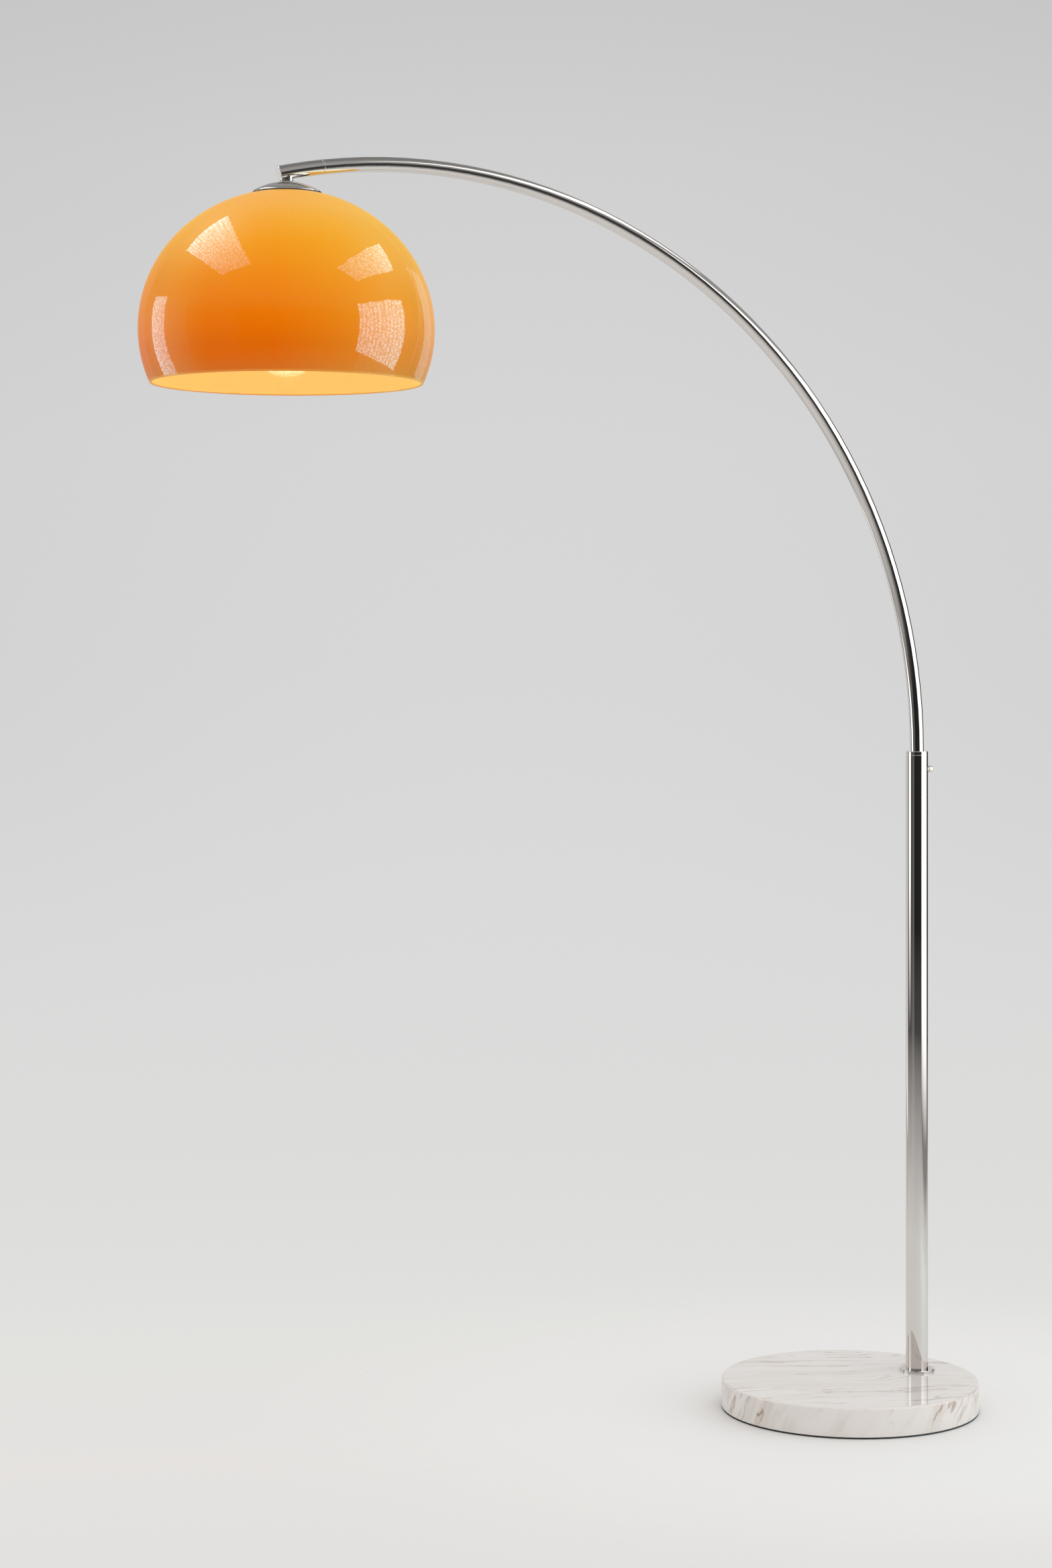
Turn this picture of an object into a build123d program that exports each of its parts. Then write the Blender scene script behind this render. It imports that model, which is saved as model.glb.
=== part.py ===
# Arc floor lamp: marble disc base, straight pole, telescoping arc arm and a domed acrylic shade.
# Millimetres. The origin is the centre of the base's underside on the floor, +Z is up and the arm
# reaches towards -X, so the whole lamp is symmetric about the XZ plane.
import os
from math import cos, degrees, radians, sin, sqrt, tan

from build123d import *

os.makedirs("parts", exist_ok=True)

# Fits, all radial except the gap between faces
slide_clearance = 0.06  # parts that slide or turn on each other
fit_gap = 0.02  # parts that are pushed or screwed together
hole_clearance = 0.5  # a part that passes freely through a hole
face_gap = 0.1  # flat faces that turn against each other

# Base
base_diameter = 364.0
base_thickness = 40.0
base_edge_radius = 3.0
base_foot_chamfer = 1.0
pad_thickness = 1.5
pad_inset = 3.0
pole_inset = 70.0  # pole axis in from the disc's edge, on the side away from the arm

# Anchor that pulls the pole down on the base
stud_diameter = 12.0
stud_engagement = 18.0
stud_point = 0.5
stud_chamfer = 1.0
anchor_washer_diameter = 40.0
anchor_washer_thickness = 2.5
lock_washer_ring = 4.0
lock_washer_thickness = 2.5
lock_washer_split = 1.5
anchor_nut_width = 19.0
anchor_nut_height = 8.0
recess_gap = 1.5
recess_clearance = 3.0
foot_plug_height = 25.0

# Flange and pole
flange_ledge = 9.0
flange_thickness = 3.5
flange_edge_radius = 1.0
pole_length = 880.5
pole_wall = 1.5
seam_relief = 0.35

# Gland for the lead, low on the back of the pole
gland_turn = 65.0  # degrees round the pole from the clamp screw, so that the lead leaves behind the lamp
gland_rise = 12.0
gland_bore_diameter = 5.5
gland_wall = 1.2
gland_ledge = 1.6
gland_head_thickness = 0.8
gland_tail = 1.5

# Collar and guide bush at the pole's top
collar_height = 5.5
collar_wall = 2.0
collar_edge_radius = 0.8
collar_lip_thickness = 1.5
spigot_length = 45.0
upper_bush_wall = 2.4

# Clamp screw
clamp_depth = 26.0
clamp_thread_diameter = 5.0
clamp_insert_wall = 1.5
clamp_insert_proud = 0.8
clamp_pad_diameter = 4.0
clamp_pad_gap = 0.3
clamp_pad_tail = 0.4
knob_gap = 0.4
knob_neck_wall = 0.7
knob_neck_length = 1.4
knob_diameter = 9.2
knob_length = 8.0
knob_tip_radius = 3.4
knob_back_radius = 1.2

# Arm
arm_diameter = 20.0
arm_wall = 1.2
arc_radius = 786.0
arc_lead = 1.0
seam_past_top = 9.4
tip_past_top = 13.88
height_travel = 240.0
stop_gap = 1.0
stop_ring_wall = 3.0
stop_ring_height = 4.0
slide_bush_length = 30.0
tail_plug_ledge = 2.0
tail_plug_flange = 2.5
tail_plug_depth = 15.0
tail_plug_bore_diameter = 8.0
arm_spigot_reach = 25.0
arm_spigot_wall = 2.0
tip_cap_thickness = 1.0
tip_cap_bevel = 0.6
tip_cap_depth = 2.0
tip_room = 0.4

# Neck and stem
neck_drop = 3.0
neck_diameter = 17.0
boss_spigot_wall = 2.3
stem_diameter = 8.0
stem_bore_diameter = 4.5
stem_nut_width = 11.0
stem_nut_height = 4.0
stem_nut_room = 0.6
stem_point = 1.0
swivel_washer_thickness = 0.8
swivel_washer_inset = 0.6

# Dome cap and shade
cap_diameter = 94.0
cap_height = 15.0
cap_wall = 1.0
cap_land_diameter = 18.0
cap_spacer_wall = 2.5
gasket_width = 2.2
gasket_thickness = 1.2
gasket_inset = 0.3
shade_diameter = 386.0
shade_rise = 181.6
shade_skirt = 69.4
shade_wall = 3.0
shade_lip_radius = 1.0
crown_land_diameter = 64.0
shade_washer_inset = 4.0
shade_washer_thickness = 1.5
shade_nut_width = 13.0
shade_nut_height = 5.0

# Lampholder
cup_gap = 1.5
cup_neck_diameter = 18.0
cup_neck_length = 8.0
cup_shoulder_length = 9.0
cup_length = 27.0
cup_edge_radius = 2.0
holder_diameter = 40.0
holder_wall = 2.0
block_clearance = 1.0
block_room = 1.0
skirt_length = 32.0
skirt_step_length = 10.0
skirt_step = 1.5
skirt_edge_radius = 1.0
shell_wall = 0.8
shell_length = 20.0
shell_set_down = 2.0
contact_strip_length = 22.0
contact_strip_width = 6.0
contact_strip_thickness = 0.6
contact_button_diameter = 7.0
contact_button_height = 1.2

# Bulb
bulb_cap_diameter = 26.4
bulb_cap_length = 22.0
bulb_cap_wall = 0.6
bulb_thread_room = 0.5
bulb_contact_diameter = 8.0
bulb_insulator_diameter = 20.0
bulb_insulator_height = 4.0
bulb_diameter = 60.0
bulb_length = 105.0
bulb_neck_seat = 5.0
bulb_shoulder_rise = 38.0
bulb_glass_wall = 1.0

# Radii that follow from the stack arm, bush, collar, pole
arm_radius = arm_diameter / 2
arm_bore_radius = arm_radius - arm_wall
bush_bore_radius = arm_radius + slide_clearance
upper_bush_radius = bush_bore_radius + upper_bush_wall
collar_bore_radius = upper_bush_radius + fit_gap
spigot_radius = collar_bore_radius + collar_wall
pole_bore_radius = spigot_radius + fit_gap
pole_radius = pole_bore_radius + pole_wall
flange_radius = pole_radius + flange_ledge
stud_radius = stud_diameter / 2
stud_hole_radius = stud_radius + hole_clearance
recess_radius = anchor_washer_diameter / 2 + recess_clearance
pole_offset = base_diameter / 2 - pole_inset

# Levels from the floor to the pole's top
base_bottom = pad_thickness
base_top = base_bottom + base_thickness
flange_top = base_top + flange_thickness
pole_top = flange_top + pole_length
collar_top = pole_top + collar_height
lip_bottom = collar_top - collar_lip_thickness
spigot_bottom = pole_top - spigot_length
clamp_z = collar_top - clamp_depth
gland_z = flange_top + foot_plug_height + gland_rise
nut_bottom = base_bottom + recess_gap
lock_washer_bottom = nut_bottom + anchor_nut_height
anchor_washer_bottom = lock_washer_bottom + lock_washer_thickness
recess_top = anchor_washer_bottom + anchor_washer_thickness

# Levels of the arm's tail, counted down from the collar at the lowest setting
stop_ring_top = spigot_bottom - stop_gap - height_travel
stop_ring_bottom = stop_ring_top - stop_ring_height
slide_bush_bottom = stop_ring_bottom - face_gap - slide_bush_length
tail_bottom = slide_bush_bottom - face_gap

# The arc, turned about its centre from the pole's top
arc_x = pole_offset - arc_radius
arc_z = collar_top + arc_lead
seam_turn = 90 + seam_past_top
tip_turn = 90 + tip_past_top
stem_radius = stem_diameter / 2
stem_nut_radius = stem_nut_width / sqrt(3)
boss_spigot_radius = stem_radius + slide_clearance + boss_spigot_wall
tip_cap_lean = arm_bore_radius * tan(radians(tip_past_top))
neck_setback = tip_cap_depth + tip_cap_lean + max(boss_spigot_radius, stem_nut_radius) + tip_room
neck_turn = tip_turn - degrees(neck_setback / arc_radius)
spigot_turn = degrees(arm_spigot_reach / arc_radius)
relief_turn = degrees(seam_relief / arc_radius)

# The head hangs on a vertical axis below the tip
head_x = arc_x + arc_radius * cos(radians(neck_turn))
neck_z = arc_z + arc_radius * sin(radians(neck_turn))
tube_underside = arc_z + sqrt((arc_radius - arm_radius) ** 2 - (head_x - arc_x) ** 2)
cap_top = tube_underside - neck_drop
cap_rim = cap_top - cap_height
boss_bottom = cap_top + swivel_washer_thickness + face_gap
boss_top = neck_z - sqrt(arm_bore_radius**2 - stem_nut_radius**2) + stem_nut_room
stem_nut_bottom = boss_top + face_gap
stem_top = stem_nut_bottom + stem_nut_height + stem_point

# The shade is an oblate dome that the cap's rim sits on through a gasket
cap_radius = cap_diameter / 2
cap_land_radius = cap_land_diameter / 2
shade_radius = shade_diameter / 2
crown_radius = crown_land_diameter / 2
shade_equator = cap_rim - gasket_thickness - shade_rise * sqrt(1 - (cap_radius / shade_radius) ** 2)
shade_rim = shade_equator - shade_skirt
crown_z = shade_equator + shade_rise * sqrt(1 - (crown_radius / shade_radius) ** 2)
crown_inside = crown_z - shade_wall
shade_washer_bottom = crown_inside - shade_washer_thickness
shade_nut_bottom = shade_washer_bottom - shade_nut_height

# Lampholder and bulb, from the nut under the shade down
cup_top = shade_nut_bottom - cup_gap
cup_bottom = cup_top - cup_length
cup_shoulder = cup_top - cup_neck_length - cup_shoulder_length
cup_inner_shoulder = cup_shoulder - holder_wall / 2
stem_bottom = cup_top - cup_neck_length
holder_radius = holder_diameter / 2
holder_bore_radius = holder_radius - holder_wall
skirt_bottom = cup_bottom - skirt_length
bulb_cap_radius = bulb_cap_diameter / 2
shell_bore_radius = bulb_cap_radius + bulb_thread_room
shell_radius = shell_bore_radius + shell_wall
shell_top = cup_bottom - shell_set_down
shell_bottom = shell_top - shell_length
contact_bottom = cup_bottom - contact_strip_thickness - contact_button_height
bulb_cap_top = contact_bottom - bulb_insulator_height
bulb_cap_bottom = bulb_cap_top - bulb_cap_length
bulb_radius = bulb_diameter / 2
bulb_centre = contact_bottom - bulb_length + bulb_radius
bulb_neck_radius = bulb_cap_radius - bulb_cap_wall - fit_gap
bulb_shoulder_radius = (bulb_shoulder_rise**2 + bulb_neck_radius**2 - bulb_radius**2) / (
    2 * (bulb_radius - bulb_neck_radius)
)

# Axes and section planes, whose X is the radius and whose Y is the height
pole_axis = Axis((pole_offset, 0, 0), (0, 0, 1))
clamp_axis = Axis((pole_offset, 0, clamp_z), (1, 0, 0))
arc_axis = Axis((arc_x, 0, arc_z), (0, -1, 0))
head_axis = Axis((head_x, 0, 0), (0, 0, 1))
pole_section = Plane(origin=(pole_offset, 0, 0), x_dir=(1, 0, 0), z_dir=(0, -1, 0))
head_section = Plane(origin=(head_x, 0, 0), x_dir=(1, 0, 0), z_dir=(0, -1, 0))


def pole_plane(height):
    return Plane(origin=(pole_offset, 0, height))


def back_plane(height):
    # looks out of the pole's back, away from the arm
    return Plane(origin=(pole_offset, 0, height), x_dir=(0, 1, 0), z_dir=(1, 0, 0))


def lead_plane(height):
    # across the pole at a height, facing the side that the lead leaves from
    facing = Vector(1, 0, 0).rotate(Axis.Z, gland_turn)
    return Plane(origin=(pole_offset, 0, height), x_dir=facing.rotate(Axis.Z, 90), z_dir=facing)


def head_plane(height):
    return Plane(origin=(head_x, 0, height))


def arc_plane(turn):
    # square to the arm's centreline
    angle = radians(turn)
    centre = (arc_x + arc_radius * cos(angle), 0, arc_z + arc_radius * sin(angle))
    return Plane(origin=centre, x_dir=(0, 1, 0), z_dir=(-sin(angle), 0, cos(angle)))


def arc_ring(turn, outer, inner):
    # the arm's ring section at a turn of the arc
    with BuildSketch(arc_plane(turn)) as ring:
        Circle(outer)
        Circle(inner, mode=Mode.SUBTRACT)
    return ring.sketch


def finish(piece, name):
    piece.part.label = name
    export_step(piece.part, f"parts/{name}.step")


# Base: pad, marble disc and the anchor in its recess
with BuildPart() as foot_pad:
    with BuildSketch(Plane.XY):
        Circle(base_diameter / 2 - pad_inset)
    extrude(amount=pad_thickness)
finish(foot_pad, "foot_pad")

with BuildPart() as base_disc:
    with BuildSketch(Plane.XY.offset(base_bottom)):
        Circle(base_diameter / 2)
    extrude(amount=base_thickness)
    fillet(base_disc.edges().group_by(Axis.Z)[-1], base_edge_radius)
    chamfer(base_disc.edges().group_by(Axis.Z)[0], base_foot_chamfer)
    with BuildSketch(pole_plane(base_bottom)):
        Circle(stud_hole_radius)
    extrude(amount=base_thickness, mode=Mode.SUBTRACT)
    with BuildSketch(pole_plane(base_bottom)):
        Circle(recess_radius)
    extrude(amount=recess_top - base_bottom, mode=Mode.SUBTRACT)
finish(base_disc, "base_disc")

with BuildPart() as anchor_washer:
    with BuildSketch(pole_plane(anchor_washer_bottom)):
        Circle(anchor_washer_diameter / 2)
        Circle(stud_hole_radius, mode=Mode.SUBTRACT)
    extrude(amount=anchor_washer_thickness)
finish(anchor_washer, "anchor_washer")

with BuildPart() as lock_washer:
    with BuildSketch(pole_plane(lock_washer_bottom)):
        Circle(stud_hole_radius + lock_washer_ring)
        Circle(stud_hole_radius, mode=Mode.SUBTRACT)
        with Locations((stud_hole_radius + lock_washer_ring / 2, 0)):
            Rectangle(2 * lock_washer_ring, lock_washer_split, mode=Mode.SUBTRACT)
    extrude(amount=lock_washer_thickness)
finish(lock_washer, "lock_washer")

with BuildPart() as anchor_nut:
    with BuildSketch(pole_plane(nut_bottom)):
        RegularPolygon(anchor_nut_width / 2, 6, major_radius=False)
        Circle(stud_radius + fit_gap, mode=Mode.SUBTRACT)
    extrude(amount=anchor_nut_height)
finish(anchor_nut, "anchor_nut")

with BuildPart() as anchor_stud:
    with BuildSketch(pole_plane(nut_bottom - stud_point)):
        Circle(stud_radius)
    extrude(amount=flange_top + stud_engagement - nut_bottom + stud_point)
    chamfer(anchor_stud.edges().filter_by(GeomType.CIRCLE), stud_chamfer)
finish(anchor_stud, "anchor_stud")

# Pole: flange, tube, foot plug and gland
with BuildPart() as pole_flange:
    with BuildSketch(pole_plane(base_top)):
        Circle(flange_radius)
        Circle(stud_hole_radius, mode=Mode.SUBTRACT)
    extrude(amount=flange_thickness)
    fillet(pole_flange.edges().group_by(Axis.Z)[-1].sort_by(SortBy.RADIUS)[-1], flange_edge_radius)
finish(pole_flange, "pole_flange")

with BuildPart() as pole_tube:
    with BuildSketch(pole_plane(flange_top)):
        Circle(pole_radius)
        Circle(pole_bore_radius, mode=Mode.SUBTRACT)
    extrude(amount=pole_length)
    chamfer(pole_tube.edges().group_by(Axis.Z)[-1].sort_by(SortBy.RADIUS)[-1], seam_relief)
    with BuildSketch(back_plane(clamp_z)):
        Circle(clamp_thread_diameter / 2 + clamp_insert_wall + fit_gap)
    extrude(amount=2 * pole_radius, mode=Mode.SUBTRACT)
    with BuildSketch(lead_plane(gland_z)):
        Circle(gland_bore_diameter / 2 + gland_wall + fit_gap)
    extrude(amount=2 * pole_radius, mode=Mode.SUBTRACT)
finish(pole_tube, "pole_tube")

with BuildPart() as foot_plug:
    with BuildSketch(pole_plane(flange_top)):
        Circle(pole_bore_radius - fit_gap)
    extrude(amount=foot_plug_height)
    with BuildSketch(pole_plane(flange_top)):
        Circle(stud_radius + fit_gap)
    extrude(amount=stud_engagement, mode=Mode.SUBTRACT)
finish(foot_plug, "foot_plug")

with BuildPart() as cord_gland:
    # a round head whose back is hollowed to sit on the tube
    with BuildSketch(lead_plane(gland_z)):
        Circle(gland_bore_diameter / 2 + gland_wall + gland_ledge)
    extrude(amount=pole_radius + gland_head_thickness)
    with BuildSketch(pole_plane(gland_z - pole_radius)):
        Circle(pole_radius)
    extrude(amount=2 * pole_radius, mode=Mode.SUBTRACT)
    # a barrel through the wall, and the hole for the lead
    with BuildSketch(lead_plane(gland_z).offset(pole_bore_radius - gland_tail)):
        Circle(gland_bore_diameter / 2 + gland_wall)
    extrude(amount=gland_tail + pole_wall + gland_head_thickness)
    with BuildSketch(lead_plane(gland_z)):
        Circle(gland_bore_diameter / 2)
    extrude(amount=2 * pole_radius, mode=Mode.SUBTRACT)
finish(cord_gland, "cord_gland")

# Clamp at the pole's top
with BuildPart() as pole_collar:
    with BuildSketch(pole_section):
        with BuildLine():
            Polyline(
                (bush_bore_radius + hole_clearance, collar_top),
                (pole_radius, collar_top),
                (pole_radius, pole_top),
                (spigot_radius, pole_top),
                (spigot_radius, spigot_bottom),
                (collar_bore_radius, spigot_bottom),
                (collar_bore_radius, lip_bottom),
                (bush_bore_radius + hole_clearance, lip_bottom),
                close=True,
            )
        make_face()
    revolve(axis=pole_axis)
    fillet(pole_collar.edges().group_by(Axis.Z)[-1].sort_by(SortBy.RADIUS)[-1], collar_edge_radius)
    outer_seam = pole_collar.edges().filter_by_position(Axis.Z, pole_top, pole_top)
    chamfer(outer_seam.sort_by(SortBy.RADIUS)[-1], seam_relief)
    with BuildSketch(back_plane(clamp_z)):
        Circle(clamp_thread_diameter / 2 + clamp_insert_wall + fit_gap)
    extrude(amount=2 * pole_radius, mode=Mode.SUBTRACT)
finish(pole_collar, "pole_collar")

with BuildPart() as upper_bush:
    with BuildSketch(pole_plane(spigot_bottom)):
        Circle(upper_bush_radius)
        Circle(bush_bore_radius, mode=Mode.SUBTRACT)
    extrude(amount=lip_bottom - spigot_bottom)
    with BuildSketch(back_plane(clamp_z)):
        Circle(clamp_pad_diameter / 2 + slide_clearance)
    extrude(amount=2 * pole_radius, mode=Mode.SUBTRACT)
finish(upper_bush, "upper_bush")

with BuildPart() as clamp_insert:
    with BuildSketch(back_plane(clamp_z).offset(collar_bore_radius)):
        Circle(clamp_thread_diameter / 2 + clamp_insert_wall)
        Circle(clamp_thread_diameter / 2 + slide_clearance, mode=Mode.SUBTRACT)
    extrude(amount=pole_radius + clamp_insert_proud - collar_bore_radius)
finish(clamp_insert, "clamp_insert")

pad_inner = arm_radius + clamp_pad_gap
pad_outer = collar_bore_radius + clamp_pad_tail
with BuildPart() as clamp_pad:
    with BuildSketch(back_plane(clamp_z).offset(pad_inner)):
        Circle(clamp_pad_diameter / 2)
    extrude(amount=pad_outer - pad_inner)
finish(clamp_pad, "clamp_pad")

knob_neck_start = pole_radius + clamp_insert_proud + knob_gap
knob_start = knob_neck_start + knob_neck_length
knob_end = knob_start + knob_length
knob_neck_radius = clamp_thread_diameter / 2 + knob_neck_wall
with BuildPart() as clamp_screw:
    with BuildSketch(back_plane(clamp_z).offset(pad_outer + face_gap)):
        Circle(clamp_thread_diameter / 2)
    extrude(amount=knob_neck_start - pad_outer - face_gap)
    with BuildSketch(back_plane(clamp_z).offset(knob_neck_start)):
        Circle(knob_neck_radius)
    extrude(amount=knob_neck_length)
    with BuildSketch(back_plane(clamp_z).offset(knob_start)):
        Circle(knob_diameter / 2)
    extrude(amount=knob_length)
    fillet(clamp_screw.edges().group_by(Axis.X)[-1], knob_tip_radius)
    knob_rim = clamp_screw.edges().filter_by_position(
        Axis.X, pole_offset + knob_start, pole_offset + knob_start
    )
    fillet(knob_rim.sort_by(SortBy.RADIUS)[-1], knob_back_radius)
finish(clamp_screw, "clamp_screw")

# Arm: tail with its bush, arc tube, seam sleeve, end tube and cap
with BuildPart() as slide_bush:
    with BuildSketch(pole_plane(slide_bush_bottom)):
        Circle(pole_bore_radius - slide_clearance)
        Circle(bush_bore_radius, mode=Mode.SUBTRACT)
    extrude(amount=slide_bush_length)
finish(slide_bush, "slide_bush")

with BuildPart() as stop_ring:
    with BuildSketch(pole_plane(stop_ring_bottom)):
        Circle(arm_radius + stop_ring_wall)
        Circle(arm_radius + fit_gap, mode=Mode.SUBTRACT)
    extrude(amount=stop_ring_height)
finish(stop_ring, "stop_ring")

with BuildPart() as tail_plug:
    with BuildSketch(pole_plane(tail_bottom)):
        Circle(arm_radius + tail_plug_ledge)
    extrude(amount=-tail_plug_flange)
    with BuildSketch(pole_plane(tail_bottom)):
        Circle(arm_bore_radius - fit_gap)
    extrude(amount=tail_plug_depth)
    with BuildSketch(pole_plane(tail_bottom - tail_plug_flange)):
        Circle(tail_plug_bore_diameter / 2)
    extrude(amount=tail_plug_flange + tail_plug_depth, mode=Mode.SUBTRACT)
finish(tail_plug, "tail_plug")

# both tubes step in a little at the seam, which leaves the fine ring line
with BuildPart() as arm_tube:
    with BuildSketch(pole_plane(tail_bottom)):
        Circle(arm_radius)
        Circle(arm_bore_radius, mode=Mode.SUBTRACT)
    extrude(amount=arc_z - tail_bottom)
    revolve(arc_ring(0, arm_radius, arm_bore_radius), axis=arc_axis, revolution_arc=seam_turn - relief_turn)
    relief = arc_ring(seam_turn - relief_turn, arm_radius - seam_relief, arm_bore_radius)
    revolve(relief, axis=arc_axis, revolution_arc=relief_turn)
finish(arm_tube, "arm_tube")

spigot_outer = arm_bore_radius - fit_gap
with BuildPart() as arm_spigot:
    sleeve = arc_ring(seam_turn - spigot_turn, spigot_outer, spigot_outer - arm_spigot_wall)
    revolve(sleeve, axis=arc_axis, revolution_arc=2 * spigot_turn)
finish(arm_spigot, "arm_spigot")

with BuildPart() as tip_tube:
    relief = arc_ring(seam_turn, arm_radius - seam_relief, arm_bore_radius)
    revolve(relief, axis=arc_axis, revolution_arc=relief_turn)
    run = arc_ring(seam_turn + relief_turn, arm_radius, arm_bore_radius)
    revolve(run, axis=arc_axis, revolution_arc=tip_turn - seam_turn - relief_turn)
    # the neck's spigot comes up through the lower wall
    with BuildSketch(head_plane(neck_z - arm_diameter)):
        Circle(boss_spigot_radius + fit_gap)
    extrude(amount=arm_diameter, mode=Mode.SUBTRACT)
finish(tip_tube, "tip_tube")

with BuildPart() as tip_cap:
    with BuildSketch(arc_plane(tip_turn)):
        Circle(arm_radius)
    extrude(amount=tip_cap_thickness)
    chamfer(tip_cap.edges().sort_by(Axis.X)[0], tip_cap_bevel)
    with BuildSketch(arc_plane(tip_turn)):
        Circle(arm_bore_radius - 2 * fit_gap)
    extrude(amount=-tip_cap_depth)
finish(tip_cap, "tip_cap")

with BuildPart() as neck_boss:
    # a collar that is saddled to the tube's underside
    with BuildSketch(head_plane(boss_bottom)):
        Circle(neck_diameter / 2)
    extrude(amount=neck_z - boss_bottom)
    with BuildSketch(arc_plane(seam_turn)):
        Circle(arm_radius)
    revolve(axis=arc_axis, revolution_arc=2 * (tip_turn - seam_turn), mode=Mode.SUBTRACT)
    # a spigot through the tube's wall with a flat seat for the stem's nut
    with BuildSketch(head_plane(boss_bottom)):
        Circle(boss_spigot_radius)
    extrude(amount=boss_top - boss_bottom)
    with BuildSketch(head_plane(boss_bottom)):
        Circle(stem_radius + slide_clearance)
    extrude(amount=neck_z - boss_bottom, mode=Mode.SUBTRACT)
finish(neck_boss, "neck_boss")

# Head: stem, cap and shade
with BuildPart() as stem:
    with BuildSketch(head_plane(stem_bottom)):
        Circle(stem_radius)
        Circle(stem_bore_diameter / 2, mode=Mode.SUBTRACT)
    extrude(amount=stem_top - stem_bottom)
finish(stem, "stem")

with BuildPart() as stem_nut:
    with BuildSketch(head_plane(stem_nut_bottom)):
        RegularPolygon(stem_nut_width / 2, 6, major_radius=False)
        Circle(stem_radius + fit_gap, mode=Mode.SUBTRACT)
    extrude(amount=stem_nut_height)
finish(stem_nut, "stem_nut")

with BuildPart() as swivel_washer:
    with BuildSketch(head_plane(cap_top)):
        Circle(neck_diameter / 2 - swivel_washer_inset)
        Circle(stem_radius + fit_gap, mode=Mode.SUBTRACT)
    extrude(amount=swivel_washer_thickness)
finish(swivel_washer, "swivel_washer")

# the cap is a spun dome on a sphere through its flat land and its rim
cap_centre = (cap_radius**2 - cap_land_radius**2 + cap_rim**2 - cap_top**2) / (2 * (cap_rim - cap_top))
cap_sphere = sqrt(cap_radius**2 + (cap_rim - cap_centre) ** 2)
cap_hole_radius = stem_radius + hole_clearance
with BuildPart() as dome_cap:
    with BuildSketch(head_section):
        with Locations((0, cap_centre)):
            Circle(cap_sphere)
        with Locations((cap_hole_radius, cap_rim)):
            Rectangle(cap_radius, cap_height, align=Align.MIN, mode=Mode.INTERSECT)
        with BuildSketch(mode=Mode.PRIVATE) as cap_hollow:
            with Locations((0, cap_centre)):
                Circle(cap_sphere - cap_wall)
            with Locations((0, cap_rim)):
                Rectangle(cap_radius, cap_height - cap_wall, align=Align.MIN, mode=Mode.INTERSECT)
        add(cap_hollow.sketch, mode=Mode.SUBTRACT)
    revolve(axis=head_axis)
finish(dome_cap, "dome_cap")

with BuildPart() as cap_spacer:
    with BuildSketch(head_plane(crown_z)):
        Circle(stem_radius + fit_gap + cap_spacer_wall)
        Circle(stem_radius + fit_gap, mode=Mode.SUBTRACT)
    extrude(amount=cap_top - cap_wall - crown_z)
finish(cap_spacer, "cap_spacer")

with BuildPart() as shade_gasket:
    # fills the wedge between the cap's flat rim and the dome under it
    with BuildSketch(head_section):
        with Locations((cap_radius - gasket_inset, cap_rim)):
            Rectangle(gasket_width, 2 * gasket_thickness, align=Align.MAX)
        with Locations((0, shade_equator)):
            Ellipse(shade_radius, shade_rise, mode=Mode.SUBTRACT)
    revolve(axis=head_axis)
finish(shade_gasket, "shade_gasket")

with BuildPart() as shade:
    with BuildSketch(head_section):
        with Locations((0, shade_equator)):
            Ellipse(shade_radius, shade_rise)
        with Locations((stem_radius + hole_clearance, shade_rim)):
            Rectangle(shade_radius, crown_z - shade_rim, align=Align.MIN, mode=Mode.INTERSECT)
        with BuildSketch(mode=Mode.PRIVATE) as shade_hollow:
            with Locations((0, shade_equator)):
                Ellipse(shade_radius - shade_wall, shade_rise - shade_wall)
            with Locations((0, shade_rim)):
                Rectangle(shade_radius, crown_inside - shade_rim, align=Align.MIN, mode=Mode.INTERSECT)
        add(shade_hollow.sketch, mode=Mode.SUBTRACT)
    revolve(axis=head_axis)
    fillet(shade.edges().group_by(Axis.Z)[0], shade_lip_radius)
finish(shade, "shade")

with BuildPart() as shade_washer:
    with BuildSketch(head_plane(shade_washer_bottom)):
        Circle(crown_radius - shade_washer_inset)
        Circle(stem_radius + hole_clearance, mode=Mode.SUBTRACT)
    extrude(amount=shade_washer_thickness)
finish(shade_washer, "shade_washer")

with BuildPart() as shade_nut:
    with BuildSketch(head_plane(shade_nut_bottom)):
        RegularPolygon(shade_nut_width / 2, 6, major_radius=False)
        Circle(stem_radius + fit_gap, mode=Mode.SUBTRACT)
    extrude(amount=shade_nut_height)
finish(shade_nut, "shade_nut")

# Lampholder: cup on the stem, contact block, threaded shell and skirt
with BuildPart() as holder_cup:
    with BuildSketch(head_section):
        with BuildLine():
            Polyline(
                (stem_radius + fit_gap, cup_top),
                (cup_neck_diameter / 2, cup_top),
                (cup_neck_diameter / 2, cup_top - cup_neck_length + holder_wall),
                (holder_radius, cup_shoulder),
                (holder_radius, cup_bottom),
                (holder_bore_radius, cup_bottom),
                (holder_bore_radius, cup_inner_shoulder),
                (cup_neck_diameter / 2 - holder_wall, cup_top - cup_neck_length),
                (stem_radius + fit_gap, cup_top - cup_neck_length),
                close=True,
            )
        make_face()
    revolve(axis=head_axis)
    shoulder = holder_cup.edges().filter_by_position(Axis.Z, cup_shoulder, cup_shoulder)
    fillet(shoulder.sort_by(SortBy.RADIUS)[-1], cup_edge_radius)
    crown = holder_cup.edges().group_by(Axis.Z)[-1]
    fillet(crown.sort_by(SortBy.RADIUS)[-1], cup_edge_radius)
finish(holder_cup, "holder_cup")

with BuildPart() as holder_block:
    with BuildSketch(head_plane(cup_bottom)):
        Circle(holder_bore_radius - block_clearance)
    extrude(amount=cup_inner_shoulder - block_room - cup_bottom)
finish(holder_block, "holder_block")

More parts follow.
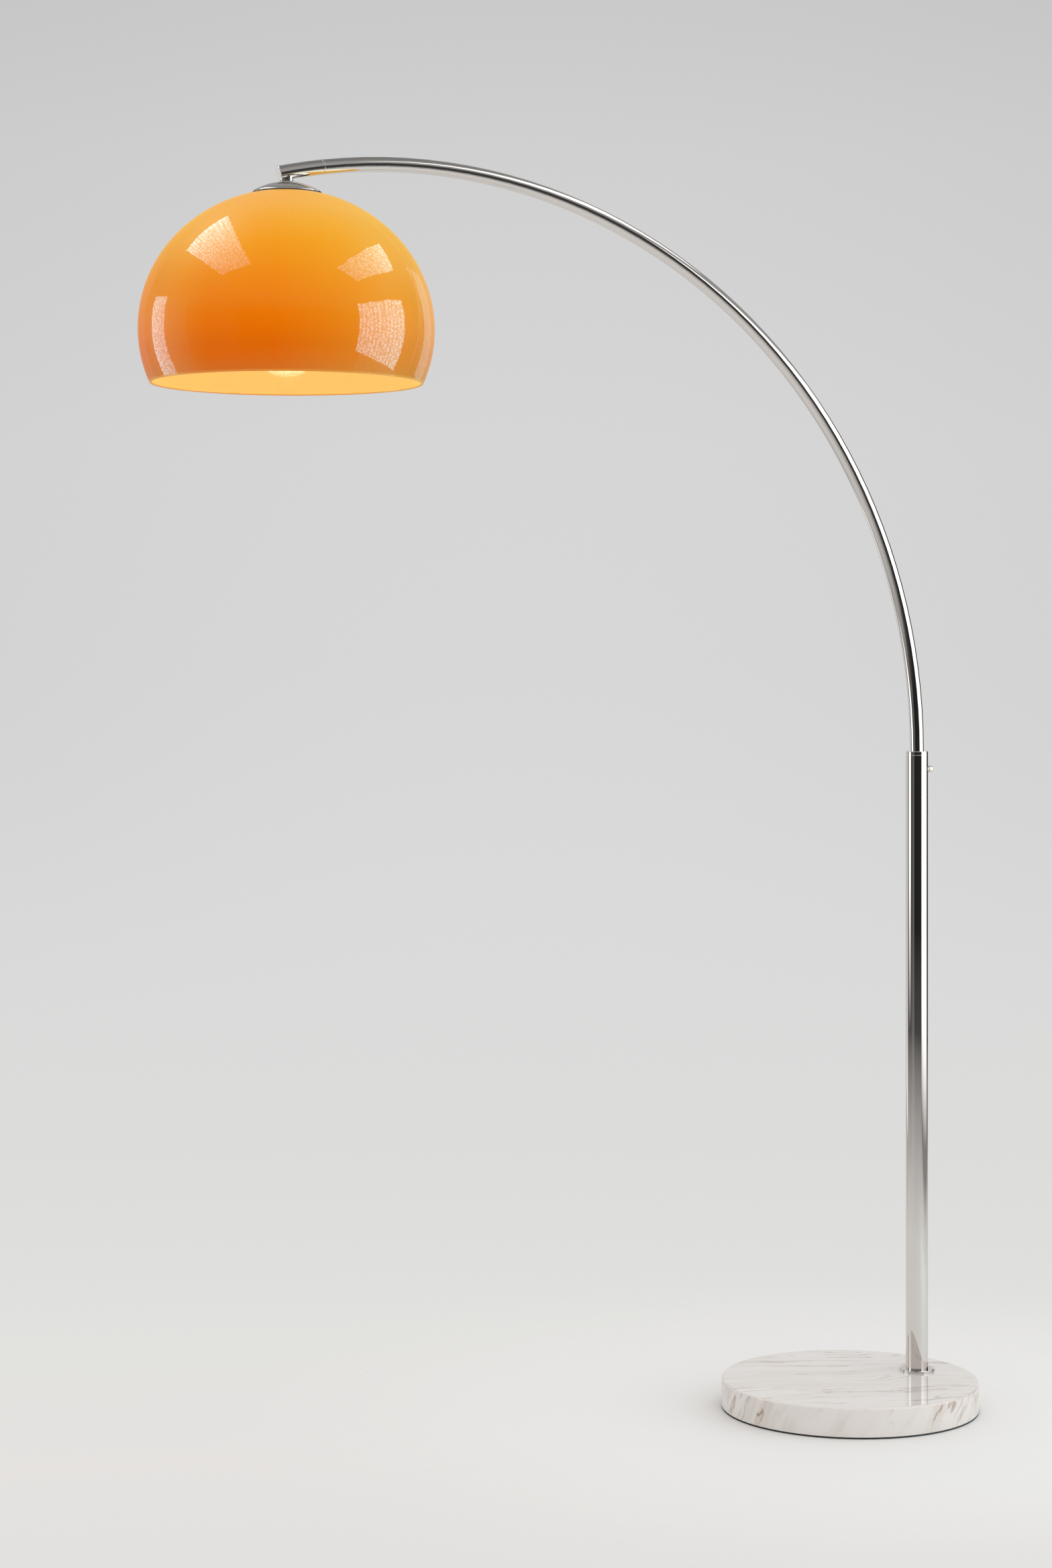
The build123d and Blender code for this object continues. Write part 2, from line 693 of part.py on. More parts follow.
with BuildPart() as holder_contact:
    with BuildSketch(head_plane(cup_bottom)):
        Rectangle(contact_strip_length, contact_strip_width)
    extrude(amount=-contact_strip_thickness)
    with BuildSketch(head_plane(cup_bottom - contact_strip_thickness)):
        Circle(contact_button_diameter / 2)
    extrude(amount=-contact_button_height)
finish(holder_contact, "holder_contact")

with BuildPart() as holder_shell:
    with BuildSketch(head_plane(shell_bottom)):
        Circle(shell_radius)
        Circle(shell_bore_radius, mode=Mode.SUBTRACT)
    extrude(amount=shell_length)
finish(holder_shell, "holder_shell")

with BuildPart() as holder_skirt:
    with BuildSketch(head_section):
        with BuildLine():
            Polyline(
                (shell_radius + fit_gap, cup_bottom),
                (holder_radius, cup_bottom),
                (holder_radius, cup_bottom - skirt_step_length),
                (holder_radius - skirt_step, cup_bottom - skirt_step_length),
                (holder_radius - skirt_step, skirt_bottom),
                (shell_bore_radius, skirt_bottom),
                (shell_bore_radius, shell_bottom),
                (shell_radius + fit_gap, shell_bottom),
                close=True,
            )
        make_face()
    revolve(axis=head_axis)
    fillet(holder_skirt.edges().group_by(Axis.Z)[0], skirt_edge_radius)
finish(holder_skirt, "holder_skirt")

# Bulb: contact, screw cap and glass
with BuildPart() as bulb_contact:
    with BuildSketch(head_section):
        with BuildLine():
            Polyline(
                (0, contact_bottom),
                (bulb_contact_diameter / 2, contact_bottom),
                (bulb_insulator_diameter / 2, bulb_cap_top),
                (0, bulb_cap_top),
                close=True,
            )
        make_face()
    revolve(axis=head_axis)
finish(bulb_contact, "bulb_contact")

with BuildPart() as bulb_cap:
    with BuildSketch(head_plane(bulb_cap_bottom)):
        Circle(bulb_cap_radius)
    extrude(amount=bulb_cap_length)
    fillet(bulb_cap.edges().group_by(Axis.Z)[-1], bulb_cap_wall)
    with BuildSketch(head_plane(bulb_cap_bottom)):
        Circle(bulb_cap_radius - bulb_cap_wall)
    extrude(amount=bulb_cap_length - bulb_cap_wall, mode=Mode.SUBTRACT)
finish(bulb_cap, "bulb_cap")


def bulb_outline(inset):
    # half section of the pear shape: a sphere, a hollow shoulder tangent to it and a straight neck
    ball = bulb_radius - inset
    neck = bulb_neck_radius - inset
    shoulder_z = bulb_centre + bulb_shoulder_rise
    reach = bulb_shoulder_radius + bulb_radius
    side = (bulb_neck_radius + bulb_shoulder_radius) / reach
    lift = bulb_shoulder_rise / reach
    neck_top = bulb_cap_bottom + bulb_neck_seat
    with BuildSketch(head_section) as outline:
        with BuildLine():
            Line((0, bulb_centre - ball), (0, neck_top))
            Line((0, neck_top), (neck, neck_top))
            Line((neck, neck_top), (neck, shoulder_z))
            RadiusArc((neck, shoulder_z), (ball * side, bulb_centre + ball * lift), bulb_shoulder_radius + inset)
            ThreePointArc(
                (ball * side, bulb_centre + ball * lift), (ball, bulb_centre), (0, bulb_centre - ball)
            )
        make_face()
    return outline.sketch


with BuildPart() as bulb_glass:
    revolve(bulb_outline(0), axis=head_axis)
    revolve(bulb_outline(bulb_glass_wall), axis=head_axis, mode=Mode.SUBTRACT)
finish(bulb_glass, "bulb_glass")
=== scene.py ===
import bpy
import bmesh
from math import acos, asin, cos, pi, radians, sin, sqrt
from mathutils import Matrix, Vector


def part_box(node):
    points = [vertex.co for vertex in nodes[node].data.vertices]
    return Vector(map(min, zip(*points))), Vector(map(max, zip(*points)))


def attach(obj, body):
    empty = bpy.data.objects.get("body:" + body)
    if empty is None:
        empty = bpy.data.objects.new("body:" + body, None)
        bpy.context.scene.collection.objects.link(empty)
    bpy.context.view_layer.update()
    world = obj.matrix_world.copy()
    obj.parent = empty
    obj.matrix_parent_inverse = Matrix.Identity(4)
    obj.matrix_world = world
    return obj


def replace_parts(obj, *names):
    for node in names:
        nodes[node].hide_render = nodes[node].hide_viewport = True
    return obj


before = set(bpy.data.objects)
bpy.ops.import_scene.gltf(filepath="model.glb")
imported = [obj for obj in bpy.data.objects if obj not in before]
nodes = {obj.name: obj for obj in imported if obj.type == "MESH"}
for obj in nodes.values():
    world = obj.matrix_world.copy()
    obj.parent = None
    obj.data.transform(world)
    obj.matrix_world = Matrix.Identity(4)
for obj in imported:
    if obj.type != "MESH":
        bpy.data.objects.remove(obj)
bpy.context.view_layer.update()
scene = bpy.context.scene
scene.view_settings.view_transform = "Standard"
print("frame loaded,", len(nodes), "nodes")


# Small tools

def hexColour(text):
    # sRGB hex to the linear colour that shaders and lights take
    parts = [int(text[i:i + 2], 16) / 255 for i in (1, 3, 5)]
    return tuple(c / 12.92 if c <= 0.04045 else ((c + 0.055) / 1.055) ** 2.4 for c in parts) + (1.0,)


def addNode(tree, kind, settings=None, inputs=None):
    # one node with its settings; an input is a socket to link or a plain value
    node = tree.nodes.new(kind)
    for name, value in (settings or {}).items():
        setattr(node, name, value)
    for name, value in (inputs or {}).items():
        if isinstance(value, bpy.types.NodeSocket):
            tree.links.new(value, node.inputs[name])
        else:
            node.inputs[name].default_value = value
    return node


def newMaterial(name, sockets):
    material = bpy.data.materials.new(name)
    material.use_nodes = True
    shader = material.node_tree.nodes["Principled BSDF"]
    for socket, value in sockets.items():
        shader.inputs[socket].default_value = value
    return material, material.node_tree, shader


def setRamp(node, stops):
    # stops are (position, linear colour)
    ramp = node.color_ramp
    while len(ramp.elements) > 1:
        ramp.elements.remove(ramp.elements[-1])
    ramp.elements[0].position, ramp.elements[0].color = stops[0]
    for position, colour in stops[1:]:
        ramp.elements.new(position).color = colour


# Camera, level and off to the front, as the photograph was taken

shot = {
    "focalPx": 4583.0,  # for a frame 1568 x 2337
    "frameLong": 2337,
    "horizonPx": 990.6,
    "height": 1.0552,
    "turn": 25.0,  # degrees that the view is turned from the lamp's own side view
    "pole": (0.112, 0.0),
    "poleRight": 0.5616,  # metres that the pole stands to the right of the view's middle
    "poleDepth": 4.4175,  # and ahead of the camera
    "sensorMm": 36.0,
    "farEnd": 200,
}
viewRight = Vector((cos(radians(shot["turn"])), -sin(radians(shot["turn"])), 0))
viewAhead = Vector((sin(radians(shot["turn"])), cos(radians(shot["turn"])), 0))


def studioPoint(right, ahead, height):
    # a place in the room, counted from the camera: metres to its right, ahead of it, above the floor
    spot = Vector((*shot["pole"], 0)) + viewRight * (right - shot["poleRight"])
    spot += viewAhead * (ahead - shot["poleDepth"])
    spot.z = height
    return spot


camera = bpy.data.objects.new("camera", bpy.data.cameras.new("camera"))
scene.collection.objects.link(camera)
camera.location = studioPoint(0, 0, shot["height"])
camera.rotation_euler = (radians(90), 0, -radians(shot["turn"]))
camera.data.sensor_width = shot["sensorMm"]
camera.data.lens = shot["focalPx"] / shot["frameLong"] * shot["sensorMm"]
camera.data.shift_y = (shot["horizonPx"] - shot["frameLong"] / 2) / shot["frameLong"]
camera.data.clip_end = shot["farEnd"]
scene.camera = camera
print("camera set, lens", round(camera.data.lens, 2), "mm")


# Floor and room

room = {
    "floorRadius": 8.0,
    "floorSides": 96,
    "floorDrop": 0.0003,  # metres that it lies under the foot pad
    "floorFade": (0.36, 0.95),  # metres from the disc's middle where the floor melts into the backdrop
    "floorMirrored": (1.2, 4.4, 7.8, 0.92),  # the same as polished metal sees it, and how much of it is gone halfway
    "floorRight": (1.25, 1.9, 0.65),  # and where it ends to the right, counted from the pole
    "floorTone": "#e4e2e0",
    "ambient": (0.80, 1.16),  # light from all round, on the left and on the right
    "sideFall": (1.4, 0.03, 0.02),  # how much the backdrop darkens to its sides, where that ends, and how softly
    "sideFallRise": (-0.14, -0.02),  # the upward part of the ray over which that sets in
    # what the camera sees of the backdrop, by the upward part of its ray
    "backdrop": [(-1.0, "#dcdbda"), (-0.281, "#e2e1df"), (-0.250, "#e5e2e0"), (-0.213, "#e2e2df"),
                 (-0.190, "#dfdfde"), (-0.150, "#dcdcdb"), (-0.074, "#dadada"), (0.0, "#d7d7d7"),
                 (0.070, "#d6d6d6"), (0.117, "#d3d3d3"), (0.164, "#d0d0d0"), (0.209, "#cacaca"), (1.0, "#bebebe")],
    # what polished metal sees round about, by degrees from the camera's side, positive to the right
    "around": [(-180, 0.68), (-141, 0.62), (-136, 0.06), (-76, 0.05), (-58, 0.07), (-52, 0.15), (-38, 0.15),
               (-31, 0.018), (37, 0.025), (44, 0.05), (104, 0.05), (110, 0.02), (148, 0.03), (156, 0.68),
               (180, 0.68)],
    "ceiling": [(0.35, 0.42), (0.75, 0.40), (0.95, 0.26)],  # tone that metal sees by the upward part of the ray
    "ceilingFrom": (0.24, 0.10, 0.3),  # where it starts, behind the lamp and before it, and how far it turns between
    "ceilingSoft": 0.25,  # how softly it starts
    "ceilingBehind": (0.9, 0.4),  # how much of it there is behind, and how far it turns until there is all
}

mesh = bpy.data.meshes.new("floor")
shape = bmesh.new()
bmesh.ops.create_circle(shape, cap_ends=True, segments=room["floorSides"], radius=room["floorRadius"])
bmesh.ops.translate(shape, verts=shape.verts, vec=(0, 0, -room["floorDrop"]))
shape.to_mesh(mesh)
shape.free()
floor = bpy.data.objects.new("floor", mesh)
scene.collection.objects.link(floor)

# painted studio floor, matt and pale, which melts into the backdrop
floorPaint, tree, shader = newMaterial("painted studio floor", {
    "Base Color": hexColour(room["floorTone"]), "Roughness": 0.9, "Specular IOR Level": 0.2})
place = addNode(tree, "ShaderNodeTexCoord")
reach = addNode(tree, "ShaderNodeVectorMath", {"operation": "LENGTH"}, {0: place.outputs["Object"]})
fade = addNode(tree, "ShaderNodeMapRange", {"interpolation_type": "SMOOTHSTEP"}, {
    "Value": reach.outputs["Value"], "From Min": room["floorFade"][0], "From Max": room["floorFade"][1]})
nearEdge, halfway, farEdge, goneHalfway = room["floorMirrored"]
fadeMirrored = addNode(tree, "ShaderNodeMapRange", None, {
    "Value": reach.outputs["Value"], "From Min": nearEdge, "From Max": halfway, "To Max": goneHalfway})
fadeFar = addNode(tree, "ShaderNodeMapRange", None, {
    "Value": reach.outputs["Value"], "From Min": halfway, "From Max": farEdge, "To Max": 1 - goneHalfway})
fadeAhead = addNode(tree, "ShaderNodeMath", {"operation": "ADD"}, {
    0: fadeMirrored.outputs[0], 1: fadeFar.outputs[0]})
toRight = addNode(tree, "ShaderNodeVectorMath", {"operation": "DOT_PRODUCT"}, {
    0: place.outputs["Object"], 1: viewRight})
poleRight = Vector((*shot["pole"], 0)).dot(viewRight)
rightEdge, rightEnd, goneRight = room["floorRight"]
fadeRight = addNode(tree, "ShaderNodeMapRange", None, {
    "Value": toRight.outputs["Value"], "From Min": poleRight + rightEdge, "From Max": poleRight + rightEnd,
    "To Max": goneRight})
fadeMetal = addNode(tree, "ShaderNodeMath", {"operation": "MAXIMUM"}, {
    0: fadeAhead.outputs[0], 1: fadeRight.outputs[0]})
path = addNode(tree, "ShaderNodeLightPath")
fadeBoth = addNode(tree, "ShaderNodeMix", None, {
    0: path.outputs["Is Glossy Ray"], 2: fade.outputs["Result"], 3: fadeMetal.outputs[0]})
clear = addNode(tree, "ShaderNodeBsdfTransparent")
mixed = addNode(tree, "ShaderNodeMixShader", None, {
    0: fadeBoth.outputs[0], 1: shader.outputs["BSDF"], 2: clear.outputs["BSDF"]})
tree.links.new(mixed.outputs["Shader"], tree.nodes["Material Output"].inputs["Surface"])
floor.data.materials.append(floorPaint)

world = bpy.data.worlds.new("studio")
world.use_nodes = True
scene.world = world
tree = world.node_tree
for node in list(tree.nodes):
    tree.nodes.remove(node)
place = addNode(tree, "ShaderNodeTexCoord")
parts = addNode(tree, "ShaderNodeSeparateXYZ", None, {0: place.outputs["Generated"]})
rise = addNode(tree, "ShaderNodeMapRange", None, {"Value": parts.outputs["Z"], "From Min": -1.0, "From Max": 1.0})
backdrop = addNode(tree, "ShaderNodeValToRGB", None, {"Fac": rise.outputs["Result"]})
setRamp(backdrop, [((z + 1) / 2, hexColour(tone)) for z, tone in room["backdrop"]])
towardsCamera = addNode(tree, "ShaderNodeVectorMath", {"operation": "DOT_PRODUCT"}, {
    0: place.outputs["Generated"], 1: -viewAhead})
right = addNode(tree, "ShaderNodeVectorMath", {"operation": "DOT_PRODUCT"}, {
    0: place.outputs["Generated"], 1: viewRight})
bearing = addNode(tree, "ShaderNodeMath", {"operation": "ARCTAN2"}, {
    0: right.outputs["Value"], 1: towardsCamera.outputs["Value"]})
turn = addNode(tree, "ShaderNodeMapRange", None, {"Value": bearing.outputs[0], "From Min": -pi, "From Max": pi})
around = addNode(tree, "ShaderNodeValToRGB", None, {"Fac": turn.outputs["Result"]})
setRamp(around, [((a + 180) / 360, (v, v, v, 1)) for a, v in room["around"]])
startBehind, startBefore, startTurn = room["ceilingFrom"]
ceilingFrom = addNode(tree, "ShaderNodeMapRange", None, {
    "Value": towardsCamera.outputs["Value"], "From Min": -startTurn, "From Max": startTurn,
    "To Min": startBehind, "To Max": startBefore})
ceilingTo = addNode(tree, "ShaderNodeMath", {"operation": "ADD"}, {0: ceilingFrom.outputs[0], 1: room["ceilingSoft"]})
overhead = addNode(tree, "ShaderNodeMapRange", {"interpolation_type": "SMOOTHSTEP"}, {
    "Value": parts.outputs["Z"], "From Min": ceilingFrom.outputs[0], "From Max": ceilingTo.outputs[0]})
ceiling = addNode(tree, "ShaderNodeValToRGB", None, {"Fac": rise.outputs["Result"]})
setRamp(ceiling, [((z + 1) / 2, (v, v, v, 1)) for z, v in room["ceiling"]])
shareBehind, shareTurn = room["ceilingBehind"]
ceilingShare = addNode(tree, "ShaderNodeMapRange", None, {
    "Value": towardsCamera.outputs["Value"], "From Min": -shareTurn, "From Max": shareTurn,
    "To Min": shareBehind, "To Max": 1.0})
ceilingSeen = addNode(tree, "ShaderNodeVectorMath", {"operation": "SCALE"}, {
    0: ceiling.outputs["Color"], "Scale": ceilingShare.outputs[0]})
roomAround = addNode(tree, "ShaderNodeMix", {"data_type": "RGBA"}, {
    0: overhead.outputs[0], 6: around.outputs["Color"], 7: ceilingSeen.outputs[0]})
path = addNode(tree, "ShaderNodeLightPath")
seen = addNode(tree, "ShaderNodeMath", {"operation": "MAXIMUM"}, {
    0: path.outputs["Is Camera Ray"], 1: path.outputs["Is Transmission Ray"]})
ambient = addNode(tree, "ShaderNodeMapRange", None, {
    "Value": right.outputs["Value"], "From Min": -1.0, "From Max": 1.0,
    "To Min": room["ambient"][0], "To Max": room["ambient"][1]})
mirrored = addNode(tree, "ShaderNodeMix", {"data_type": "RGBA"}, {
    0: path.outputs["Is Glossy Ray"], 6: ambient.outputs[0], 7: roomAround.outputs[2]})
fallBy, fallEnd, fallSoft = room["sideFall"]
squared = addNode(tree, "ShaderNodeMath", {"operation": "MULTIPLY"}, {
    0: right.outputs["Value"], 1: right.outputs["Value"]})
aside = addNode(tree, "ShaderNodeMath", {"operation": "SMOOTH_MIN"}, {0: squared.outputs[0], 1: fallEnd, 2: fallSoft})
high = addNode(tree, "ShaderNodeMapRange", {"interpolation_type": "SMOOTHSTEP"}, {
    "Value": parts.outputs["Z"], "From Min": room["sideFallRise"][0], "From Max": room["sideFallRise"][1],
    "To Max": -fallBy})
fallen = addNode(tree, "ShaderNodeMath", {"operation": "MULTIPLY_ADD", "use_clamp": True}, {
    0: aside.outputs[0], 1: high.outputs[0], 2: 1.0})
backdropSeen = addNode(tree, "ShaderNodeVectorMath", {"operation": "SCALE"}, {
    0: backdrop.outputs["Color"], "Scale": fallen.outputs[0]})
shown = addNode(tree, "ShaderNodeMix", {"data_type": "RGBA"}, {
    0: seen.outputs[0], 6: mirrored.outputs[2], 7: backdropSeen.outputs[0]})
glow = addNode(tree, "ShaderNodeBackground", None, {"Color": shown.outputs[2]})
addNode(tree, "ShaderNodeOutputWorld", None, {"Surface": glow.outputs["Background"]})
print("floor and room ready")


# Lights: two ceiling boxes, a tall box to the right and a strip to the left, with dim panels beside and behind them

lights = {
    # name: (middle: right, ahead, up), width, height, the way it faces, then how bright it is
    # in glazed and moulded surfaces, in bright metal and polished stone, and as light on matt surfaces
    "rightBox": ((2.30, 3.599, 1.355), 2.17, 1.888, "left", 6.4, 0, 0.20),
    "rightLow": ((1.60, 3.857, 0.44), 1.565, 0.56, "left", 0.40, 0, 0.35),
    "rightTall": ((1.60, 4.023, 1.255), 1.546, 1.63, "left", 0, 1.45, 0),
    "rightTallFoot": ((1.60, 4.023, 0.32), 1.546, 0.24, "left", 0, 1.45, 0),
    "backRight": ((1.60, 6.90, 1.90), 2.00, 2.00, "left", 1.5, 0, 0),
    "leftStrip": ((-1.67, 4.435, 1.11), 0.49, 1.618, "right", 4.0, 0, 0.25),
    "leftPanel": ((-1.67, 3.90, 1.11), 0.58, 1.618, "right", 0.20, 0, 0.2),
    "leftTall": ((-1.67, 4.232, 1.30), 1.063, 1.24, "right", 0, 1.50, 0),
    "leftTallFoot": ((-1.67, 4.232, 0.475), 1.063, 0.41, "right", 0, 1.50, 0),
    "backLeft": ((-1.67, 6.15, 1.25), 1.50, 2.5, "right", 0, 0.62, 0),
    "backLeftHigh": ((-1.67, 5.20, 1.92), 0.40, 1.16, "right", 0, 0.62, 0),
    "ceilingLeft": ((-1.525, 3.735, 2.99), 0.975, 2.05, "down", 4.7, 1.55, 0.15),
    "ceilingRight": ((1.463, 3.935, 2.99), 0.950, 1.95, "down", 4.7, 1.55, 0.15),
}
# how bright a lamp is at its near or lower edge and at its far or upper one
lampFade = {"ceilingLeft": (0.45, 1.35), "ceilingRight": (0.55, 1.25),
            "rightTallFoot": (0, 1), "leftTallFoot": (0, 1)}
boxCloth = {"folds": 12, "depth": 0.22,  # the cloth of the boxes is ribbed, which shows in gloss as fine lines
            "tint": (0.52, 1.03, 1.16)}  # and its light is cool in glazed surfaces
lampStep = 0.006  # metres that one lamp of a box stands behind the next, so that a ray meets each of them
wattsPerSquareMetre = 4  # for a radiance of 1
metalPieces = bpy.data.collections.new("bright metal and stone")
otherPieces = bpy.data.collections.new("glazed, moulded and matt")
for name, (spot, width, height, way, glazed, metal, matt) in lights.items():
    shine = {"left": -viewRight, "right": viewRight, "down": Vector((0, 0, -1))}[way]
    up = viewAhead if way == "down" else Vector((0, 0, 1))
    across = up.cross(-shine)
    turned = Matrix((across, up, -shine)).transposed().to_4x4()
    for part, radiance, back in (("Metal", metal, 0), ("Glazed", glazed, lampStep), ("Matt", matt, 2 * lampStep)):
        if not radiance:
            continue
        lamp = bpy.data.lights.new(name + part, "AREA")
        lamp.shape = "RECTANGLE"
        lamp.size, lamp.size_y = width, height
        lamp.energy = radiance * width * height * wattsPerSquareMetre
        if part == "Glazed":
            lamp.color = boxCloth["tint"]
        lamp.use_nodes = True
        tree = lamp.node_tree
        onLamp = addNode(tree, "ShaderNodeNewGeometry")
        acrossLamp = addNode(tree, "ShaderNodeSeparateXYZ", None, {0: onLamp.outputs["Parametric"]})
        dim, full = lampFade.get(name, (1, 1))
        fade = addNode(tree, "ShaderNodeMapRange", None, {
            "Value": acrossLamp.outputs["Y"], "To Min": dim, "To Max": full})
        ribAngle = addNode(tree, "ShaderNodeMath", {"operation": "MULTIPLY"}, {
            0: acrossLamp.outputs["X"], 1: 2 * pi * boxCloth["folds"]})
        rib = addNode(tree, "ShaderNodeMath", {"operation": "SINE"}, {0: ribAngle.outputs[0]})
        depth = boxCloth["depth"] if part == "Glazed" else 0
        ribbed = addNode(tree, "ShaderNodeMapRange", None, {
            "Value": rib.outputs[0], "From Min": -1.0, "From Max": 1.0, "To Min": 1 - depth, "To Max": 1 + depth})
        strength = addNode(tree, "ShaderNodeMath", {"operation": "MULTIPLY"}, {
            0: fade.outputs[0], 1: ribbed.outputs[0]})
        tree.links.new(strength.outputs[0], tree.nodes["Emission"].inputs["Strength"])
        lampObject = bpy.data.objects.new(name + part, lamp)
        scene.collection.objects.link(lampObject)
        lampObject.matrix_world = Matrix.Translation(studioPoint(*spot) - shine * back) @ turned
        lampObject.visible_camera = False
        lampObject.visible_diffuse = part == "Matt"
        lampObject.visible_glossy = part != "Matt"
        if part != "Matt":
            lampObject.light_linking.receiver_collection = metalPieces if part == "Metal" else otherPieces
print("lights:", len(lights))


# Materials

# polished marble: pale ground, faint clouds and thin brown veins, nearly level on top and leaning round the edge,
# a wet polish
marble = {"ground": "#e0dbd7", "cloud": "#c9beb4", "vein": "#a08573", "rust": "#7d5d45",
          # on top: how thick a sheet is, how far it runs and dips, the size and depth of its folds,
          # and the way across the sheets: right, ahead and up
          "sheetMm": 15, "runMm": 130, "dipMm": 91, "foldMm": (170, 64), "lean": (0.35, -1.9, -0.42),
          # round the edge: how wide and high the veins are, the size and depth of their folds,
          # and how many radians they go round for each metre up
          "edgeMm": (15, 60), "edgeFoldMm": (62, 30), "edgeLean": 3.9,
          "clusterMm": 85, "clear": 0.22,  # there they come in clusters, with clearer stone between
          "topShare": 0.6, "topRust": 0.9,  # how much of the clouds and fine veins, and of the rusty ones, is on top
          "veinPatchMm": 66.667, "rustPatchMm": 41.667}  # patches in which the fine and the rusty veins show
marbleStone, tree, shader = newMaterial("polished marble", {
    "Roughness": 0.07, "IOR": 1.5, "Specular IOR Level": 0.45})
leanRight, leanAhead, leanUp = marble["lean"]
acrossSheets = (viewRight * leanRight + viewAhead * leanAhead + Vector((0, 0, leanUp))).normalized()
alongSheets = acrossSheets.cross(Vector((0, 0, 1))).normalized()
downSheets = acrossSheets.cross(alongSheets)
place = addNode(tree, "ShaderNodeTexCoord")
parts = addNode(tree, "ShaderNodeSeparateXYZ", None, {0: place.outputs["Object"]})
facing = addNode(tree, "ShaderNodeSeparateXYZ", None, {0: place.outputs["Normal"]})
onTop = addNode(tree, "ShaderNodeMapRange", None, {"Value": facing.outputs["Z"], "From Min": 0.45, "From Max": 0.75})
folds = addNode(tree, "ShaderNodeTexNoise", None, {
    "Vector": place.outputs["Object"], "Scale": 1000 / marble["foldMm"][0], "Detail": 1.0})
folding = addNode(tree, "ShaderNodeVectorMath", {"operation": "MULTIPLY_ADD"}, {
    0: folds.outputs["Color"], 1: (marble["foldMm"][1] / 1000,) * 3, 2: place.outputs["Object"]})
sheetAxes = [addNode(tree, "ShaderNodeVectorMath", {"operation": "DOT_PRODUCT"}, {
    0: folding.outputs[0], 1: way * 1000 / size}) for way, size in (
    (acrossSheets, marble["sheetMm"]), (alongSheets, marble["runMm"]), (downSheets, marble["dipMm"]))]
inSheets = addNode(tree, "ShaderNodeCombineXYZ", None, {k: axis.outputs["Value"] for k, axis in enumerate(sheetAxes)})
# round the edge the veins climb like a thread, so that they lean the same way on every side
edgeFolds = addNode(tree, "ShaderNodeTexNoise", None, {
    "Vector": place.outputs["Object"], "Scale": 1000 / marble["edgeFoldMm"][0], "Detail": 2.0})
edgeFolding = addNode(tree, "ShaderNodeVectorMath", {"operation": "MULTIPLY_ADD"}, {
    0: edgeFolds.outputs["Color"], 1: (marble["edgeFoldMm"][1] / 1000,) * 3, 2: place.outputs["Object"]})
climb = addNode(tree, "ShaderNodeMath", {"operation": "MULTIPLY"}, {0: parts.outputs["Z"], 1: -marble["edgeLean"]})
unwound = addNode(tree, "ShaderNodeVectorRotate", {"rotation_type": "Z_AXIS"}, {
    "Vector": edgeFolding.outputs[0], "Angle": climb.outputs[0]})
inEdge = addNode(tree, "ShaderNodeVectorMath", {"operation": "MULTIPLY"}, {
    0: unwound.outputs[0],
    1: (1000 / marble["edgeMm"][0], 1000 / marble["edgeMm"][0], 1000 / marble["edgeMm"][1])})
inStone = addNode(tree, "ShaderNodeMix", {"data_type": "VECTOR"}, {
    0: onTop.outputs[0], 4: inEdge.outputs[0], 5: inSheets.outputs[0]})
cluster = addNode(tree, "ShaderNodeTexNoise", None, {
    "Vector": place.outputs["Object"], "Scale": 1000 / marble["clusterMm"], "Detail": 1.0})
clustered = addNode(tree, "ShaderNodeMapRange", {"interpolation_type": "SMOOTHSTEP"}, {
    "Value": cluster.outputs["Fac"], "From Min": 0.44, "From Max": 0.58, "To Min": marble["clear"]})
shownHere = addNode(tree, "ShaderNodeMix", None, {
    0: onTop.outputs[0], 2: clustered.outputs[0], 3: marble["topShare"]})
rustHere = addNode(tree, "ShaderNodeMix", None, {
    0: onTop.outputs[0], 2: clustered.outputs[0], 3: marble["topRust"]})
clouds = addNode(tree, "ShaderNodeTexNoise", None, {
    "Vector": inStone.outputs[1], "Scale": 0.42, "Detail": 4.0, "Roughness": 0.62, "Distortion": 0.2})
cloudy = addNode(tree, "ShaderNodeMapRange", None, {
    "Value": clouds.outputs["Fac"], "From Min": 0.45, "From Max": 0.78})
cloudHere = addNode(tree, "ShaderNodeMath", {"operation": "MULTIPLY"}, {
    0: cloudy.outputs[0], 1: shownHere.outputs[0]})
ground = addNode(tree, "ShaderNodeMix", {"data_type": "RGBA"}, {
    0: cloudHere.outputs[0], 6: hexColour(marble["ground"]), 7: hexColour(marble["cloud"])})
# fine veins, everywhere but faint
veins = addNode(tree, "ShaderNodeTexNoise", None, {
    "Vector": inStone.outputs[1], "Scale": 0.33, "Detail": 5.0, "Roughness": 0.55, "Distortion": 0.3})
middle = addNode(tree, "ShaderNodeMath", {"operation": "SUBTRACT"}, {0: veins.outputs["Fac"], 1: 0.5})
away = addNode(tree, "ShaderNodeMath", {"operation": "ABSOLUTE"}, {0: middle.outputs[0]})
line = addNode(tree, "ShaderNodeMapRange", {"interpolation_type": "SMOOTHSTEP"}, {
    "Value": away.outputs[0], "From Min": 0.0, "From Max": 0.026, "To Min": 1.0, "To Max": 0.0})
patch = addNode(tree, "ShaderNodeTexNoise", None, {
    "Vector": place.outputs["Object"], "Scale": 1000 / marble["veinPatchMm"], "Detail": 2.0, "Roughness": 0.5})
where = addNode(tree, "ShaderNodeMapRange", {"interpolation_type": "SMOOTHSTEP"}, {
    "Value": patch.outputs["Fac"], "From Min": 0.36, "From Max": 0.66, "To Min": 0.05, "To Max": 0.72})
faint = addNode(tree, "ShaderNodeMath", {"operation": "MULTIPLY"}, {0: line.outputs[0], 1: where.outputs[0]})
strength = addNode(tree, "ShaderNodeMath", {"operation": "MULTIPLY"}, {0: faint.outputs[0], 1: shownHere.outputs[0]})
